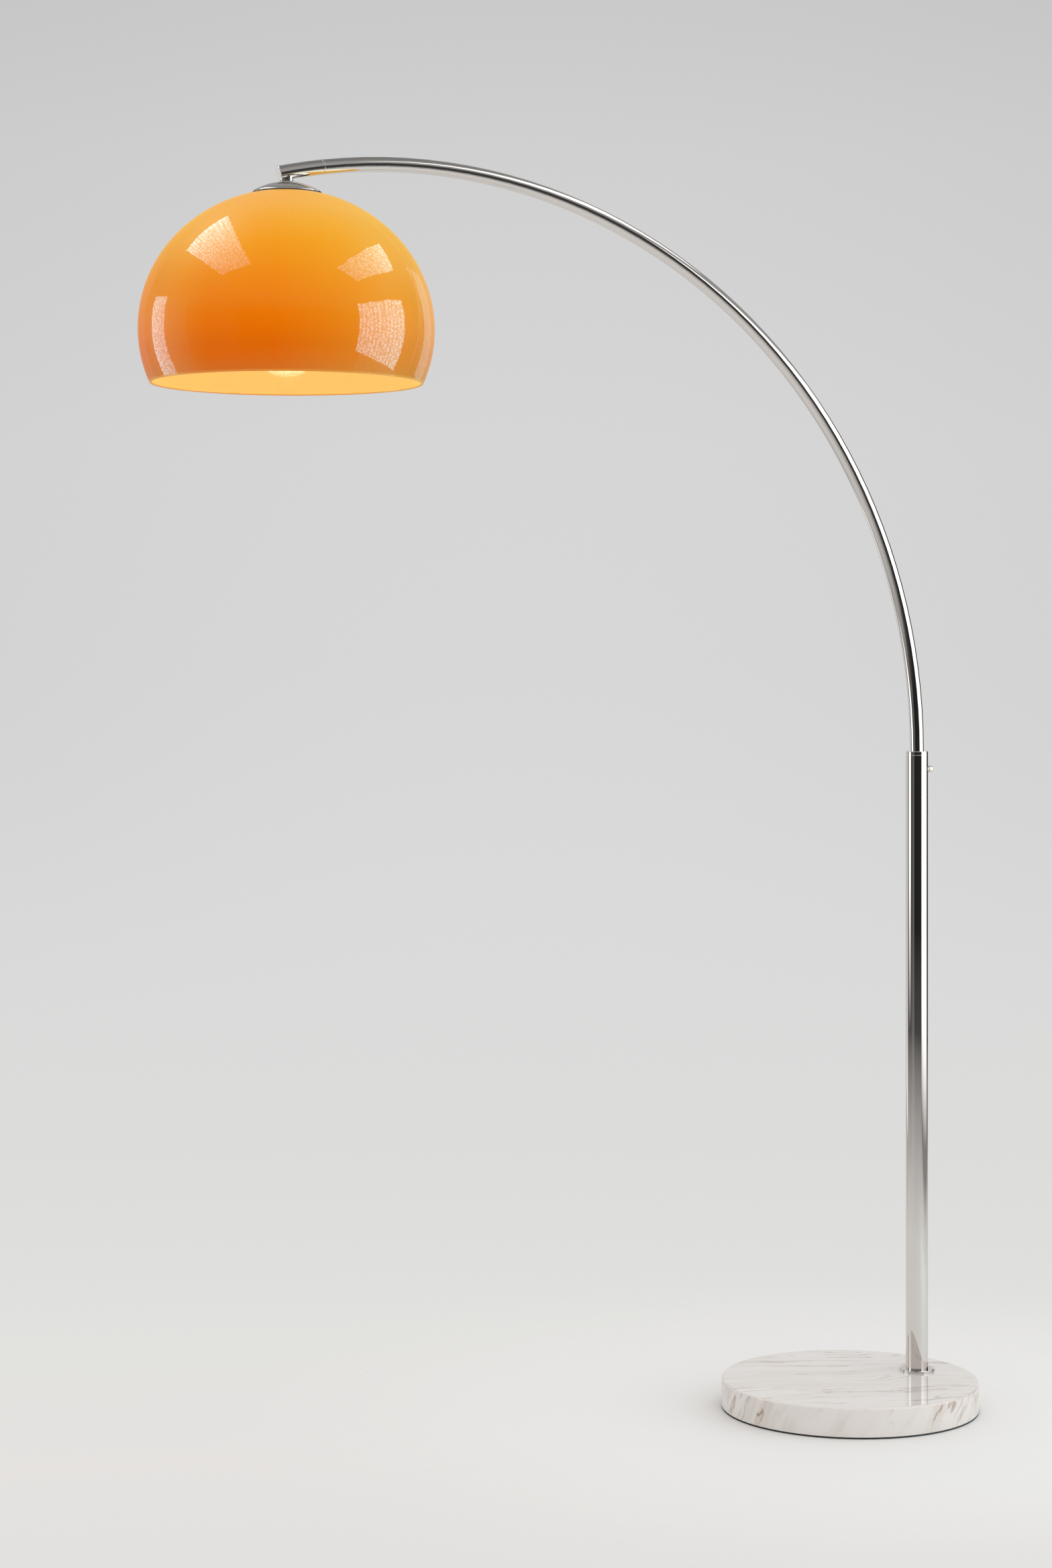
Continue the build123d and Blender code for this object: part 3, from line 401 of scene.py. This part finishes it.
veined = addNode(tree, "ShaderNodeMix", {"data_type": "RGBA"}, {
    0: strength.outputs[0], 6: ground.outputs[2], 7: hexColour(marble["vein"])})
# a few rusty ones, short and darker
rusty = addNode(tree, "ShaderNodeMapRange", {"interpolation_type": "SMOOTHSTEP"}, {
    "Value": away.outputs[0], "From Min": 0.0, "From Max": 0.013, "To Min": 1.0, "To Max": 0.0})
rustPatch = addNode(tree, "ShaderNodeTexNoise", None, {
    "Vector": place.outputs["Object"], "Scale": 1000 / marble["rustPatchMm"], "Detail": 3.0, "Roughness": 0.6})
rustWhere = addNode(tree, "ShaderNodeMapRange", {"interpolation_type": "SMOOTHSTEP"}, {
    "Value": rustPatch.outputs["Fac"], "From Min": 0.52, "From Max": 0.68, "To Max": 0.85})
rustFaint = addNode(tree, "ShaderNodeMath", {"operation": "MULTIPLY"}, {0: rusty.outputs[0], 1: rustWhere.outputs[0]})
rust = addNode(tree, "ShaderNodeMath", {"operation": "MULTIPLY"}, {0: rustFaint.outputs[0], 1: rustHere.outputs[0]})
stone = addNode(tree, "ShaderNodeMix", {"data_type": "RGBA"}, {
    0: rust.outputs[0], 6: veined.outputs[2], 7: hexColour(marble["rust"])})
tree.links.new(stone.outputs[2], shader.inputs["Base Color"])

# chromed steel: bright mirror, faint haze where it has been wiped
chrome = {"tone": "#dad6d2", "hazeMm": 25, "hazeRough": 0.04}
chromePlate, tree, shader = newMaterial("chromed steel", {
    "Base Color": hexColour(chrome["tone"]), "Metallic": 1.0, "Roughness": 0.03})
place = addNode(tree, "ShaderNodeTexCoord")
haze = addNode(tree, "ShaderNodeTexNoise", None, {
    "Vector": place.outputs["Object"], "Scale": 1000 / chrome["hazeMm"], "Detail": 3.0})
wiped = addNode(tree, "ShaderNodeMapRange", None, {
    "Value": haze.outputs["Fac"], "From Min": 0.50, "From Max": 0.80, "To Min": 0.0, "To Max": chrome["hazeRough"]})
tree.links.new(wiped.outputs[0], shader.inputs["Roughness"])

# cast orange acrylic lit from inside: deep colour, glossy skin with a fine cell texture; the bulb's light through the
# wall is painted in as emission, warmer near the bulb, with painted light on each side and a painted glow on the
# inner wall
shadeLook = {"rim": 1.4226, "crown": 1.6711, "axis": -0.85192,  # metres, as the rest of its shape
             "equator": 1.492, "across": 0.193, "upward": 0.1816,
             "cellMm": 3.0, "cellDepthMm": 0.02,  # about 1.3 mm on the real one, drawn coarser so that they show
             "edgeGloss": 0.15,  # how much of the gloss is left where the wall turns away
             # painted glow of the bulb's light on the inner wall, and the glow painted on the cut lip
             "insideGlow": (0.62, 0.45, 0.14, 1), "lip": (0.36, 0.13, 0.03, 1),
             "yellower": (-0.06, 0.09, 0.010),  # painted light: what the side towards the pole adds
             "paler": (-0.01, 0.035, 0.004)}  # and the painted light on the side away from it
acrylic, tree, shader = newMaterial("orange acrylic", {
    "Base Color": hexColour("#a26203"), "Roughness": 0.45, "IOR": 1.49, "Specular Tint": hexColour("#ffbf20"),
    "Specular IOR Level": 0.12, "Coat Roughness": 0.02, "Coat IOR": 1.49})
place = addNode(tree, "ShaderNodeTexCoord")
parts = addNode(tree, "ShaderNodeSeparateXYZ", None, {0: place.outputs["Object"]})
level = addNode(tree, "ShaderNodeMapRange", None, {
    "Value": parts.outputs["Z"], "From Min": shadeLook["rim"], "From Max": shadeLook["crown"]})
lit = addNode(tree, "ShaderNodeValToRGB", None, {"Fac": level.outputs[0]})
# painted glow: the emission colour that stands in for the bulb's light through the wall, from the rim up to the
# crown, with the glow painted on the cut lip at the bottom
setRamp(lit, [(0.0, shadeLook["lip"]), (0.008, (0.30, 0.022, 0.006, 1)), (0.069, (0.362, 0.014, 0.0, 1)),
              (0.134, (0.385, 0.016, 0.0, 1)), (0.233, (0.456, 0.046, 0.0, 1)), (0.368, (0.492, 0.09, 0.0, 1)),
              (0.505, (0.525, 0.14, 0.0, 1)), (0.649, (0.559, 0.206, 0.004, 1)), (0.766, (0.589, 0.268, 0.02, 1)),
              (0.867, (0.616, 0.314, 0.047, 1)), (1.0, (0.62, 0.33, 0.06, 1))])
cells = addNode(tree, "ShaderNodeTexVoronoi", None, {
    "Vector": place.outputs["Object"], "Scale": 1000 / shadeLook["cellMm"]})
sparkle = addNode(tree, "ShaderNodeMapRange", None, {
    "Value": cells.outputs["Distance"], "From Min": 0.15, "From Max": 0.65, "To Min": 0.92, "To Max": 0.34})
turnedAway = addNode(tree, "ShaderNodeLayerWeight", None, {"Blend": 0.5})
edgeGloss = addNode(tree, "ShaderNodeMapRange", {"interpolation_type": "SMOOTHSTEP"}, {
    "Value": turnedAway.outputs["Facing"], "From Min": 0.5, "From Max": 0.84,
    "To Min": 1.0, "To Max": shadeLook["edgeGloss"]})
gloss = addNode(tree, "ShaderNodeMath", {"operation": "MULTIPLY"}, {0: sparkle.outputs[0], 1: edgeGloss.outputs[0]})
tree.links.new(gloss.outputs[0], shader.inputs["Coat Weight"])
dimple = addNode(tree, "ShaderNodeBump", None, {
    "Height": cells.outputs["Distance"], "Strength": 0.3, "Distance": shadeLook["cellDepthMm"] / 1000})
tree.links.new(dimple.outputs[0], shader.inputs["Coat Normal"])
# inner wall and lip, told from the outside by how far out they are on the dome; the inner wall takes the painted glow
# of the bulb's light
dome = addNode(tree, "ShaderNodeMapping", {"vector_type": "TEXTURE"}, {
    "Vector": place.outputs["Object"], "Location": (shadeLook["axis"], 0, shadeLook["equator"]),
    "Scale": (shadeLook["across"], shadeLook["across"], shadeLook["upward"])})
far = addNode(tree, "ShaderNodeVectorMath", {"operation": "LENGTH"}, {0: dome.outputs[0]})
inward = addNode(tree, "ShaderNodeMapRange", None, {
    "Value": far.outputs["Value"], "From Min": 0.990, "From Max": 0.994, "To Min": 1.0, "To Max": 0.0})
aboveLip = addNode(tree, "ShaderNodeMath", {"operation": "GREATER_THAN"}, {
    0: parts.outputs["Z"], 1: shadeLook["rim"]})
inside = addNode(tree, "ShaderNodeMath", {"operation": "MULTIPLY"}, {0: inward.outputs[0], 1: aboveLip.outputs[0]})
sideways = addNode(tree, "ShaderNodeVectorMath", {"operation": "DOT_PRODUCT"}, {0: dome.outputs[0], 1: viewRight})
onSide = addNode(tree, "ShaderNodeMapRange", None, {"Value": sideways.outputs["Value"], "From Max": 0.9})
offSide = addNode(tree, "ShaderNodeMapRange", {"interpolation_type": "SMOOTHSTEP"}, {
    "Value": sideways.outputs["Value"], "From Min": -0.38, "From Max": -0.72})
# painted light on the sides, added to the painted glow
withPaintedLightTowardsPole = addNode(tree, "ShaderNodeVectorMath", {"operation": "MULTIPLY_ADD"}, {
    0: onSide.outputs[0], 1: shadeLook["yellower"], 2: lit.outputs["Color"]})
withPaintedSideLight = addNode(tree, "ShaderNodeVectorMath", {"operation": "MULTIPLY_ADD"}, {
    0: offSide.outputs[0], 1: shadeLook["paler"], 2: withPaintedLightTowardsPole.outputs[0]})
# painted light: the outer wall's painted glow and side light, and the inner wall's painted glow, all given as
# emission
bothSides = addNode(tree, "ShaderNodeMix", {"data_type": "RGBA"}, {
    0: inside.outputs[0], 6: withPaintedSideLight.outputs[0], 7: shadeLook["insideGlow"]})
tree.links.new(bothSides.outputs[2], shader.inputs["Emission Color"])
shader.inputs["Emission Strength"].default_value = 1.0

# moulded rubber and plastics, plated steels, brass and glass of the smaller pieces:
# two tones, how large their mottling is in mm, how deep it is in mm, and the dull and bright ends of the gloss
small = {
    # foot rubber, moulded on a grained plate: dull, with a fine leathery grain
    "pad_rubber": ("moulded foot rubber", "#262420", "#33302b", 1.2, 0.08, (0.75, 0.95), {}),
    # zinc plate, passivated: bluish grey with soft crystals
    "zinc_steel": ("zinc plated steel", "#a9adb0", "#c2c4c1", 2.0, 0.01, (0.24, 0.42), {"Metallic": 1.0}),
    # turned brass: warm, with a faint tool mark
    "brass": ("turned brass", "#b9934a", "#d3b069", 1.5, 0.01, (0.18, 0.34), {"Metallic": 1.0}),
    # natural nylon: milky, waxy skin
    "nylon": ("natural nylon", "#d3cebd", "#e4e0d2", 3.0, 0.01, (0.38, 0.55), {"Subsurface Weight": 0.15}),
    # gland rubber: black, a little dusty
    "gland_rubber": ("gland rubber", "#191919", "#262524", 0.9, 0.03, (0.55, 0.8), {}),
    # silicone gasket: greyish and soft looking
    "silicone": ("silicone rubber", "#cfcbbd", "#dcd9cd", 2.0, 0.01, (0.35, 0.5), {}),
    # black phenolic: hard moulded gloss, brownish where it is thin
    "holder_plastic": ("moulded black phenolic", "#181716", "#24201d", 1.6, 0.015, (0.22, 0.42), {}),
    # porcelain under a clear glaze with a few dimples
    "porcelain": ("glazed porcelain", "#e6e1d6", "#f1eee6", 4.0, 0.02, (0.08, 0.2), {}),
    # black glass insulator at the end of the bulb's cap
    "bulb_insulator": ("black insulating glass", "#15151b", "#22222b", 1.5, 0.01, (0.1, 0.25), {}),
    # nickel plate on thin pressed brass: pale and slightly yellow
    "bulb_cap_metal": ("nickel plated brass", "#b9b6aa", "#cfcdc3", 1.5, 0.01, (0.16, 0.3), {"Metallic": 1.0}),
    # opal glass with the lamp on behind it: even, warm white
    "opal_glass": ("opal glass", "#f3ead9", "#fbf4e8", 6.0, 0.0, (0.18, 0.28), {}),
}
bulbLook = {"litTo": (1.549, 1.562), "strength": 20.0, "lit": "#fff0d6", "neck": "#ffe6c0", "neckShare": 0.03}
finishes = {"marble": marbleStone, "chrome": chromePlate, "orange_acrylic": acrylic}
for slotName, (name, darker, lighter, grainMm, depthMm, gloss, sockets) in small.items():
    finishes[slotName], tree, shader = newMaterial(name, sockets)
    place = addNode(tree, "ShaderNodeTexCoord")
    grain = addNode(tree, "ShaderNodeTexNoise", None, {
        "Vector": place.outputs["Object"], "Scale": 1000 / grainMm, "Detail": 4.0, "Roughness": 0.6})
    mottled = addNode(tree, "ShaderNodeMapRange", None, {
        "Value": grain.outputs["Fac"], "From Min": 0.3, "From Max": 0.7})
    tone = addNode(tree, "ShaderNodeMix", {"data_type": "RGBA"}, {
        0: mottled.outputs[0], 6: hexColour(darker), 7: hexColour(lighter)})
    tree.links.new(tone.outputs[2], shader.inputs["Base Color"])
    worn = addNode(tree, "ShaderNodeMapRange", None, {
        "Value": grain.outputs["Fac"], "From Min": 0.3, "From Max": 0.7, "To Min": gloss[0], "To Max": gloss[1]})
    tree.links.new(worn.outputs[0], shader.inputs["Roughness"])
    if depthMm:
        relief = addNode(tree, "ShaderNodeBump", None, {
            "Height": grain.outputs["Fac"], "Strength": 0.5, "Distance": depthMm / 1000})
        tree.links.new(relief.outputs[0], shader.inputs["Normal"])
# the lower half of the bulb's glass is lit, its neck is only white
tree = finishes["opal_glass"].node_tree
shader = tree.nodes["Principled BSDF"]
place = addNode(tree, "ShaderNodeTexCoord")
parts = addNode(tree, "ShaderNodeSeparateXYZ", None, {0: place.outputs["Object"]})
upBulb = addNode(tree, "ShaderNodeMapRange", None, {
    "Value": parts.outputs["Z"], "From Min": bulbLook["litTo"][0], "From Max": bulbLook["litTo"][1]})
neckGlow = tuple(c * bulbLook["neckShare"] for c in hexColour(bulbLook["neck"])[:3]) + (1,)
bulbGlow = addNode(tree, "ShaderNodeMix", {"data_type": "RGBA"}, {
    0: upBulb.outputs[0], 6: hexColour(bulbLook["lit"]), 7: neckGlow})
tree.links.new(bulbGlow.outputs[2], shader.inputs["Emission Color"])
shader.inputs["Emission Strength"].default_value = bulbLook["strength"]
for name, node in nodes.items():
    for slotIndex in range(len(node.material_slots)):
        slotName = node.material_slots[slotIndex].material.name
        node.material_slots[slotIndex].material = finishes[slotName]
print("materials:", len(finishes))


# Details that the solids leave out

def addPiece(name, shape, body, slot):
    mesh = bpy.data.meshes.new(name)
    shape.to_mesh(mesh)
    shape.free()
    mesh.shade_smooth()
    mesh.materials.append(finishes[slot])
    piece = bpy.data.objects.new(name, mesh)
    scene.collection.objects.link(piece)
    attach(piece, body)
    return piece


# a ring's steps, how near two of its points count as one, and how far it is sunk into what carries it
turning = {"steps": 72, "merge": 1e-7, "sunkMm": 0.2}


def turnRing(section, place):
    # a closed section of (radius, height) points in mm, spun round its upright axis and put in its place
    shape = bmesh.new()
    corners = [shape.verts.new((r / 1000, 0, z / 1000)) for r, z in section]
    edges = [shape.edges.new(pair) for pair in zip(corners, corners[1:] + corners[:1])]
    bmesh.ops.spin(shape, geom=corners + edges, cent=(0, 0, 0), axis=(0, 0, 1), angle=2 * pi,
                   steps=turning["steps"], use_merge=True)
    bmesh.ops.remove_doubles(shape, verts=shape.verts, dist=turning["merge"])
    bmesh.ops.recalc_face_normals(shape, faces=shape.faces)
    bmesh.ops.transform(shape, matrix=place, verts=shape.verts)
    return shape


def beadSection(radius, width, proud):
    # a low half round on a tube, sunk a little into it
    half, foot = width / 2, radius - turning["sunkMm"]
    return [(foot, -half), (radius + proud * 0.5, -half * 0.8), (radius + proud, -half * 0.35),
            (radius + proud, half * 0.35), (radius + proud * 0.5, half * 0.8), (foot, half)]


# rolled seam where the end tube is pushed on to the arc
seam = {"arcCentre": (-0.674, 0.932), "arcRadius": 0.786, "turn": 99.4,
        "tubeMm": 10.0, "widthMm": 1.3, "proudMm": 0.22}
seamTurn = radians(seam["turn"])
seamSpot = Vector((seam["arcCentre"][0] + seam["arcRadius"] * cos(seamTurn), 0,
                   seam["arcCentre"][1] + seam["arcRadius"] * sin(seamTurn)))
along = Vector((-sin(seamTurn), 0, cos(seamTurn)))
place = Matrix.Translation(seamSpot) @ along.to_track_quat("Z", "Y").to_matrix().to_4x4()
seamBead = beadSection(seam["tubeMm"], seam["widthMm"], seam["proudMm"])
addPiece("arm_seam_ring", turnRing(seamBead, place), "arm", "chrome")

# rolled edge on top of the collar and the bead at its seam with the pole
collar = {"tubeMm": 16.0, "topMm": 930.35, "seamMm": 925.5, "widthMm": 1.0, "proudMm": 0.15}
collarBead = beadSection(collar["tubeMm"], collar["widthMm"], collar["proudMm"])
for name, height in (("collar_top_bead", collar["topMm"]), ("collar_seam_bead", collar["seamMm"])):
    place = Matrix.Translation((*shot["pole"], height / 1000))
    addPiece(name, turnRing(collarBead, place), "stand", "chrome")

# spun cap with the rounded edge that its blank gets on the lathe, in place of the plain dome
cap = {"holeMm": 4.5, "landMm": 9.0, "crownMm": 86.0, "roundMm": 2.5, "roundFrom": 32.2, "wallMm": 1.0,
       "crownSteps": 16, "roundSteps": 10, "turnSteps": 96}
low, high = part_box("dome_cap")
crown = cap["crownMm"] / 1000
crownZ = high.z - sqrt(crown ** 2 - (cap["landMm"] / 1000) ** 2)
landTurn, roundTurn = asin(cap["landMm"] / cap["crownMm"]), radians(cap["roundFrom"])
shape = bmesh.new()
hole = shape.verts.new((cap["holeMm"] / 1000, 0, high.z))
edge = shape.verts.new((cap["landMm"] / 1000, 0, high.z))
shape.edges.new((hole, edge))
arc = bmesh.ops.spin(shape, geom=[edge], cent=(0, 0, crownZ), axis=(0, 1, 0), angle=roundTurn - landTurn,
                     steps=cap["crownSteps"])
last = [v for v in arc["geom_last"] if isinstance(v, bmesh.types.BMVert)]
inner = crown - cap["roundMm"] / 1000
roundMiddle = (inner * sin(roundTurn), 0, crownZ + inner * cos(roundTurn))
bmesh.ops.spin(shape, geom=last, cent=roundMiddle, axis=(0, 1, 0), angle=pi / 2 - roundTurn, steps=cap["roundSteps"])
bmesh.ops.spin(shape, geom=shape.verts[:] + shape.edges[:], cent=(0, 0, 0), axis=(0, 0, 1), angle=2 * pi,
               steps=cap["turnSteps"], use_merge=True)
bmesh.ops.remove_doubles(shape, verts=shape.verts, dist=turning["merge"])
bmesh.ops.recalc_face_normals(shape, faces=shape.faces)
bmesh.ops.solidify(shape, geom=shape.faces[:], thickness=cap["wallMm"] / 1000)
bmesh.ops.translate(shape, verts=shape.verts, vec=((low.x + high.x) / 2, 0, 0))
heights = [v.co.z * 1000 for v in shape.verts]
print("cap from", round(min(heights), 2), "to", round(max(heights), 2), "mm")
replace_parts(addPiece("cap_dome", shape, "head", "chrome"), "dome_cap")

# rounded cut edge of the shade, just under its rim
lip = {"insideMm": 175.0, "outsideMm": 178.4, "deepMm": 1.1}
low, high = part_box("shade")
place = Matrix.Translation(((low.x + high.x) / 2, 0, low.z))
inside, outside, deep = lip["insideMm"], lip["outsideMm"], lip["deepMm"]
addPiece("shade_lip", turnRing([
    (inside, turning["sunkMm"]), (inside, -deep * 0.4), (inside + deep * 0.5, -deep), (outside - deep * 0.5, -deep),
    (outside, -deep * 0.4), (outside, turning["sunkMm"])], place), "head", "orange_acrylic")

# fine line that the mould's halves leave down the shade, in line with the bearing it has in the photograph
mouldLine = {"wideMm": 1.0, "sunkMm": 0.25, "fromMm": 48.0, "sides": 8, "steps": 64,
             "bearing": 67.3}  # degrees from the camera's side, to the right
lineTop = acos(mouldLine["fromMm"] / 1000 / shadeLook["across"])
lineFoot = asin((shadeLook["rim"] - shadeLook["equator"]) / shadeLook["upward"])
shape = bmesh.new()
bmesh.ops.create_circle(shape, segments=mouldLine["sides"], radius=mouldLine["wideMm"] / 2000 / shadeLook["across"])
bmesh.ops.translate(shape, verts=shape.verts, vec=(1 - mouldLine["sunkMm"] / 1000 / shadeLook["across"], 0, 0))
bmesh.ops.rotate(shape, verts=shape.verts, cent=(0, 0, 0), matrix=Matrix.Rotation(-lineFoot, 3, "Y"))
bmesh.ops.spin(shape, geom=shape.verts[:] + shape.edges[:], cent=(0, 0, 0), axis=(0, -1, 0), angle=lineTop - lineFoot,
               steps=mouldLine["steps"])
bmesh.ops.holes_fill(shape, edges=shape.edges[:], sides=0)
bmesh.ops.recalc_face_normals(shape, faces=shape.faces)
bmesh.ops.scale(shape, verts=shape.verts, vec=(shadeLook["across"], shadeLook["across"], shadeLook["upward"]))
lineWay = viewRight * sin(radians(mouldLine["bearing"])) - viewAhead * cos(radians(mouldLine["bearing"]))
lineTurn = Vector((1, 0, 0)).rotation_difference(lineWay).to_matrix().to_4x4()
place = Matrix.Translation((shadeLook["axis"], 0, shadeLook["equator"])) @ lineTurn
bmesh.ops.transform(shape, matrix=place, verts=shape.verts)
addPiece("shade_mould_line", shape, "head", "orange_acrylic")

# soft black strip under the cap's edge, a dark ring that stands in for the shadow in the gap between the cap and the
# shade
strip = {"insideMm": 44.5, "outsideMm": 47.3, "lowMm": 1667.2, "highMm": 1669.6, "insideLowMm": 1667.8,
         "roundMm": 0.5}
outside, soft = strip["outsideMm"], strip["roundMm"]
addPiece("cap_edge_strip", turnRing([
    (strip["insideMm"], strip["insideLowMm"]), (outside - soft, strip["lowMm"]), (outside, strip["lowMm"] + soft),
    (outside, strip["highMm"] - soft), (outside - soft, strip["highMm"]), (strip["insideMm"], strip["highMm"])],
    Matrix.Translation((shadeLook["axis"], 0, 0))), "head", "gland_rubber")

# rubber edge of the foot pad, which fills the disc's lower chamfer and darkens it: the pad's own dark edge and
# painted shade for the chamfer
foot = {"insideMm": 178.0, "outsideMm": 181.8, "highMm": 2.35, "insideHeightsMm": (0.1, 1.4), "roundMm": 0.3}
outside, soft = foot["outsideMm"], foot["roundMm"]
insideLow, insideHigh = foot["insideHeightsMm"]
addPiece("pad_edge", turnRing([
    (foot["insideMm"], insideLow), (outside - soft, 0.0), (outside, soft), (outside, foot["highMm"] - soft),
    (outside - soft, foot["highMm"]), (foot["insideMm"], insideHigh)], Matrix()), "stand", "pad_rubber")

# grip ribs round the holder's skirt
ribs = {"count": 36, "wideMm": 1.5, "proudMm": 0.7, "roundMm": 0.35, "marginMm": 3.0}
low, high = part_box("holder_skirt")
skirtRadius = (high.x - low.x) / 2
shape = bmesh.new()
bmesh.ops.create_cube(shape, size=1.0)
bmesh.ops.scale(shape, verts=shape.verts, vec=(
    ribs["proudMm"] * 0.002, ribs["wideMm"] / 1000, high.z - low.z - ribs["marginMm"] * 0.002))
bmesh.ops.bevel(shape, geom=shape.edges[:], offset=ribs["roundMm"] / 1000, offset_type="OFFSET", affect="EDGES",
                segments=2, profile=0.5, material=-1)
skirtX, ribsRound = (low.x + high.x) / 2, ribs["count"] - 1  # the first rib is there already
bmesh.ops.translate(shape, verts=shape.verts, vec=(skirtX + skirtRadius, 0, (low.z + high.z) / 2))
bmesh.ops.spin(shape, geom=shape.verts[:] + shape.edges[:] + shape.faces[:], cent=(skirtX, 0, 0), axis=(0, 0, 1),
               angle=2 * pi * ribsRound / ribs["count"], steps=ribsRound, use_duplicate=True)
bmesh.ops.recalc_face_normals(shape, faces=shape.faces)
addPiece("holder_ribs", shape, "head", "holder_plastic")
print("details added")

# bright metal and polished stone take their own, dimmer lamps
bright = {"chromed steel", "zinc plated steel", "turned brass", "nickel plated brass", "polished marble"}
for piece in [o for o in scene.objects if o.type == "MESH"]:
    metal = any(s.material and s.material.name in bright for s in piece.material_slots)
    (metalPieces if metal else otherPieces).objects.link(piece)
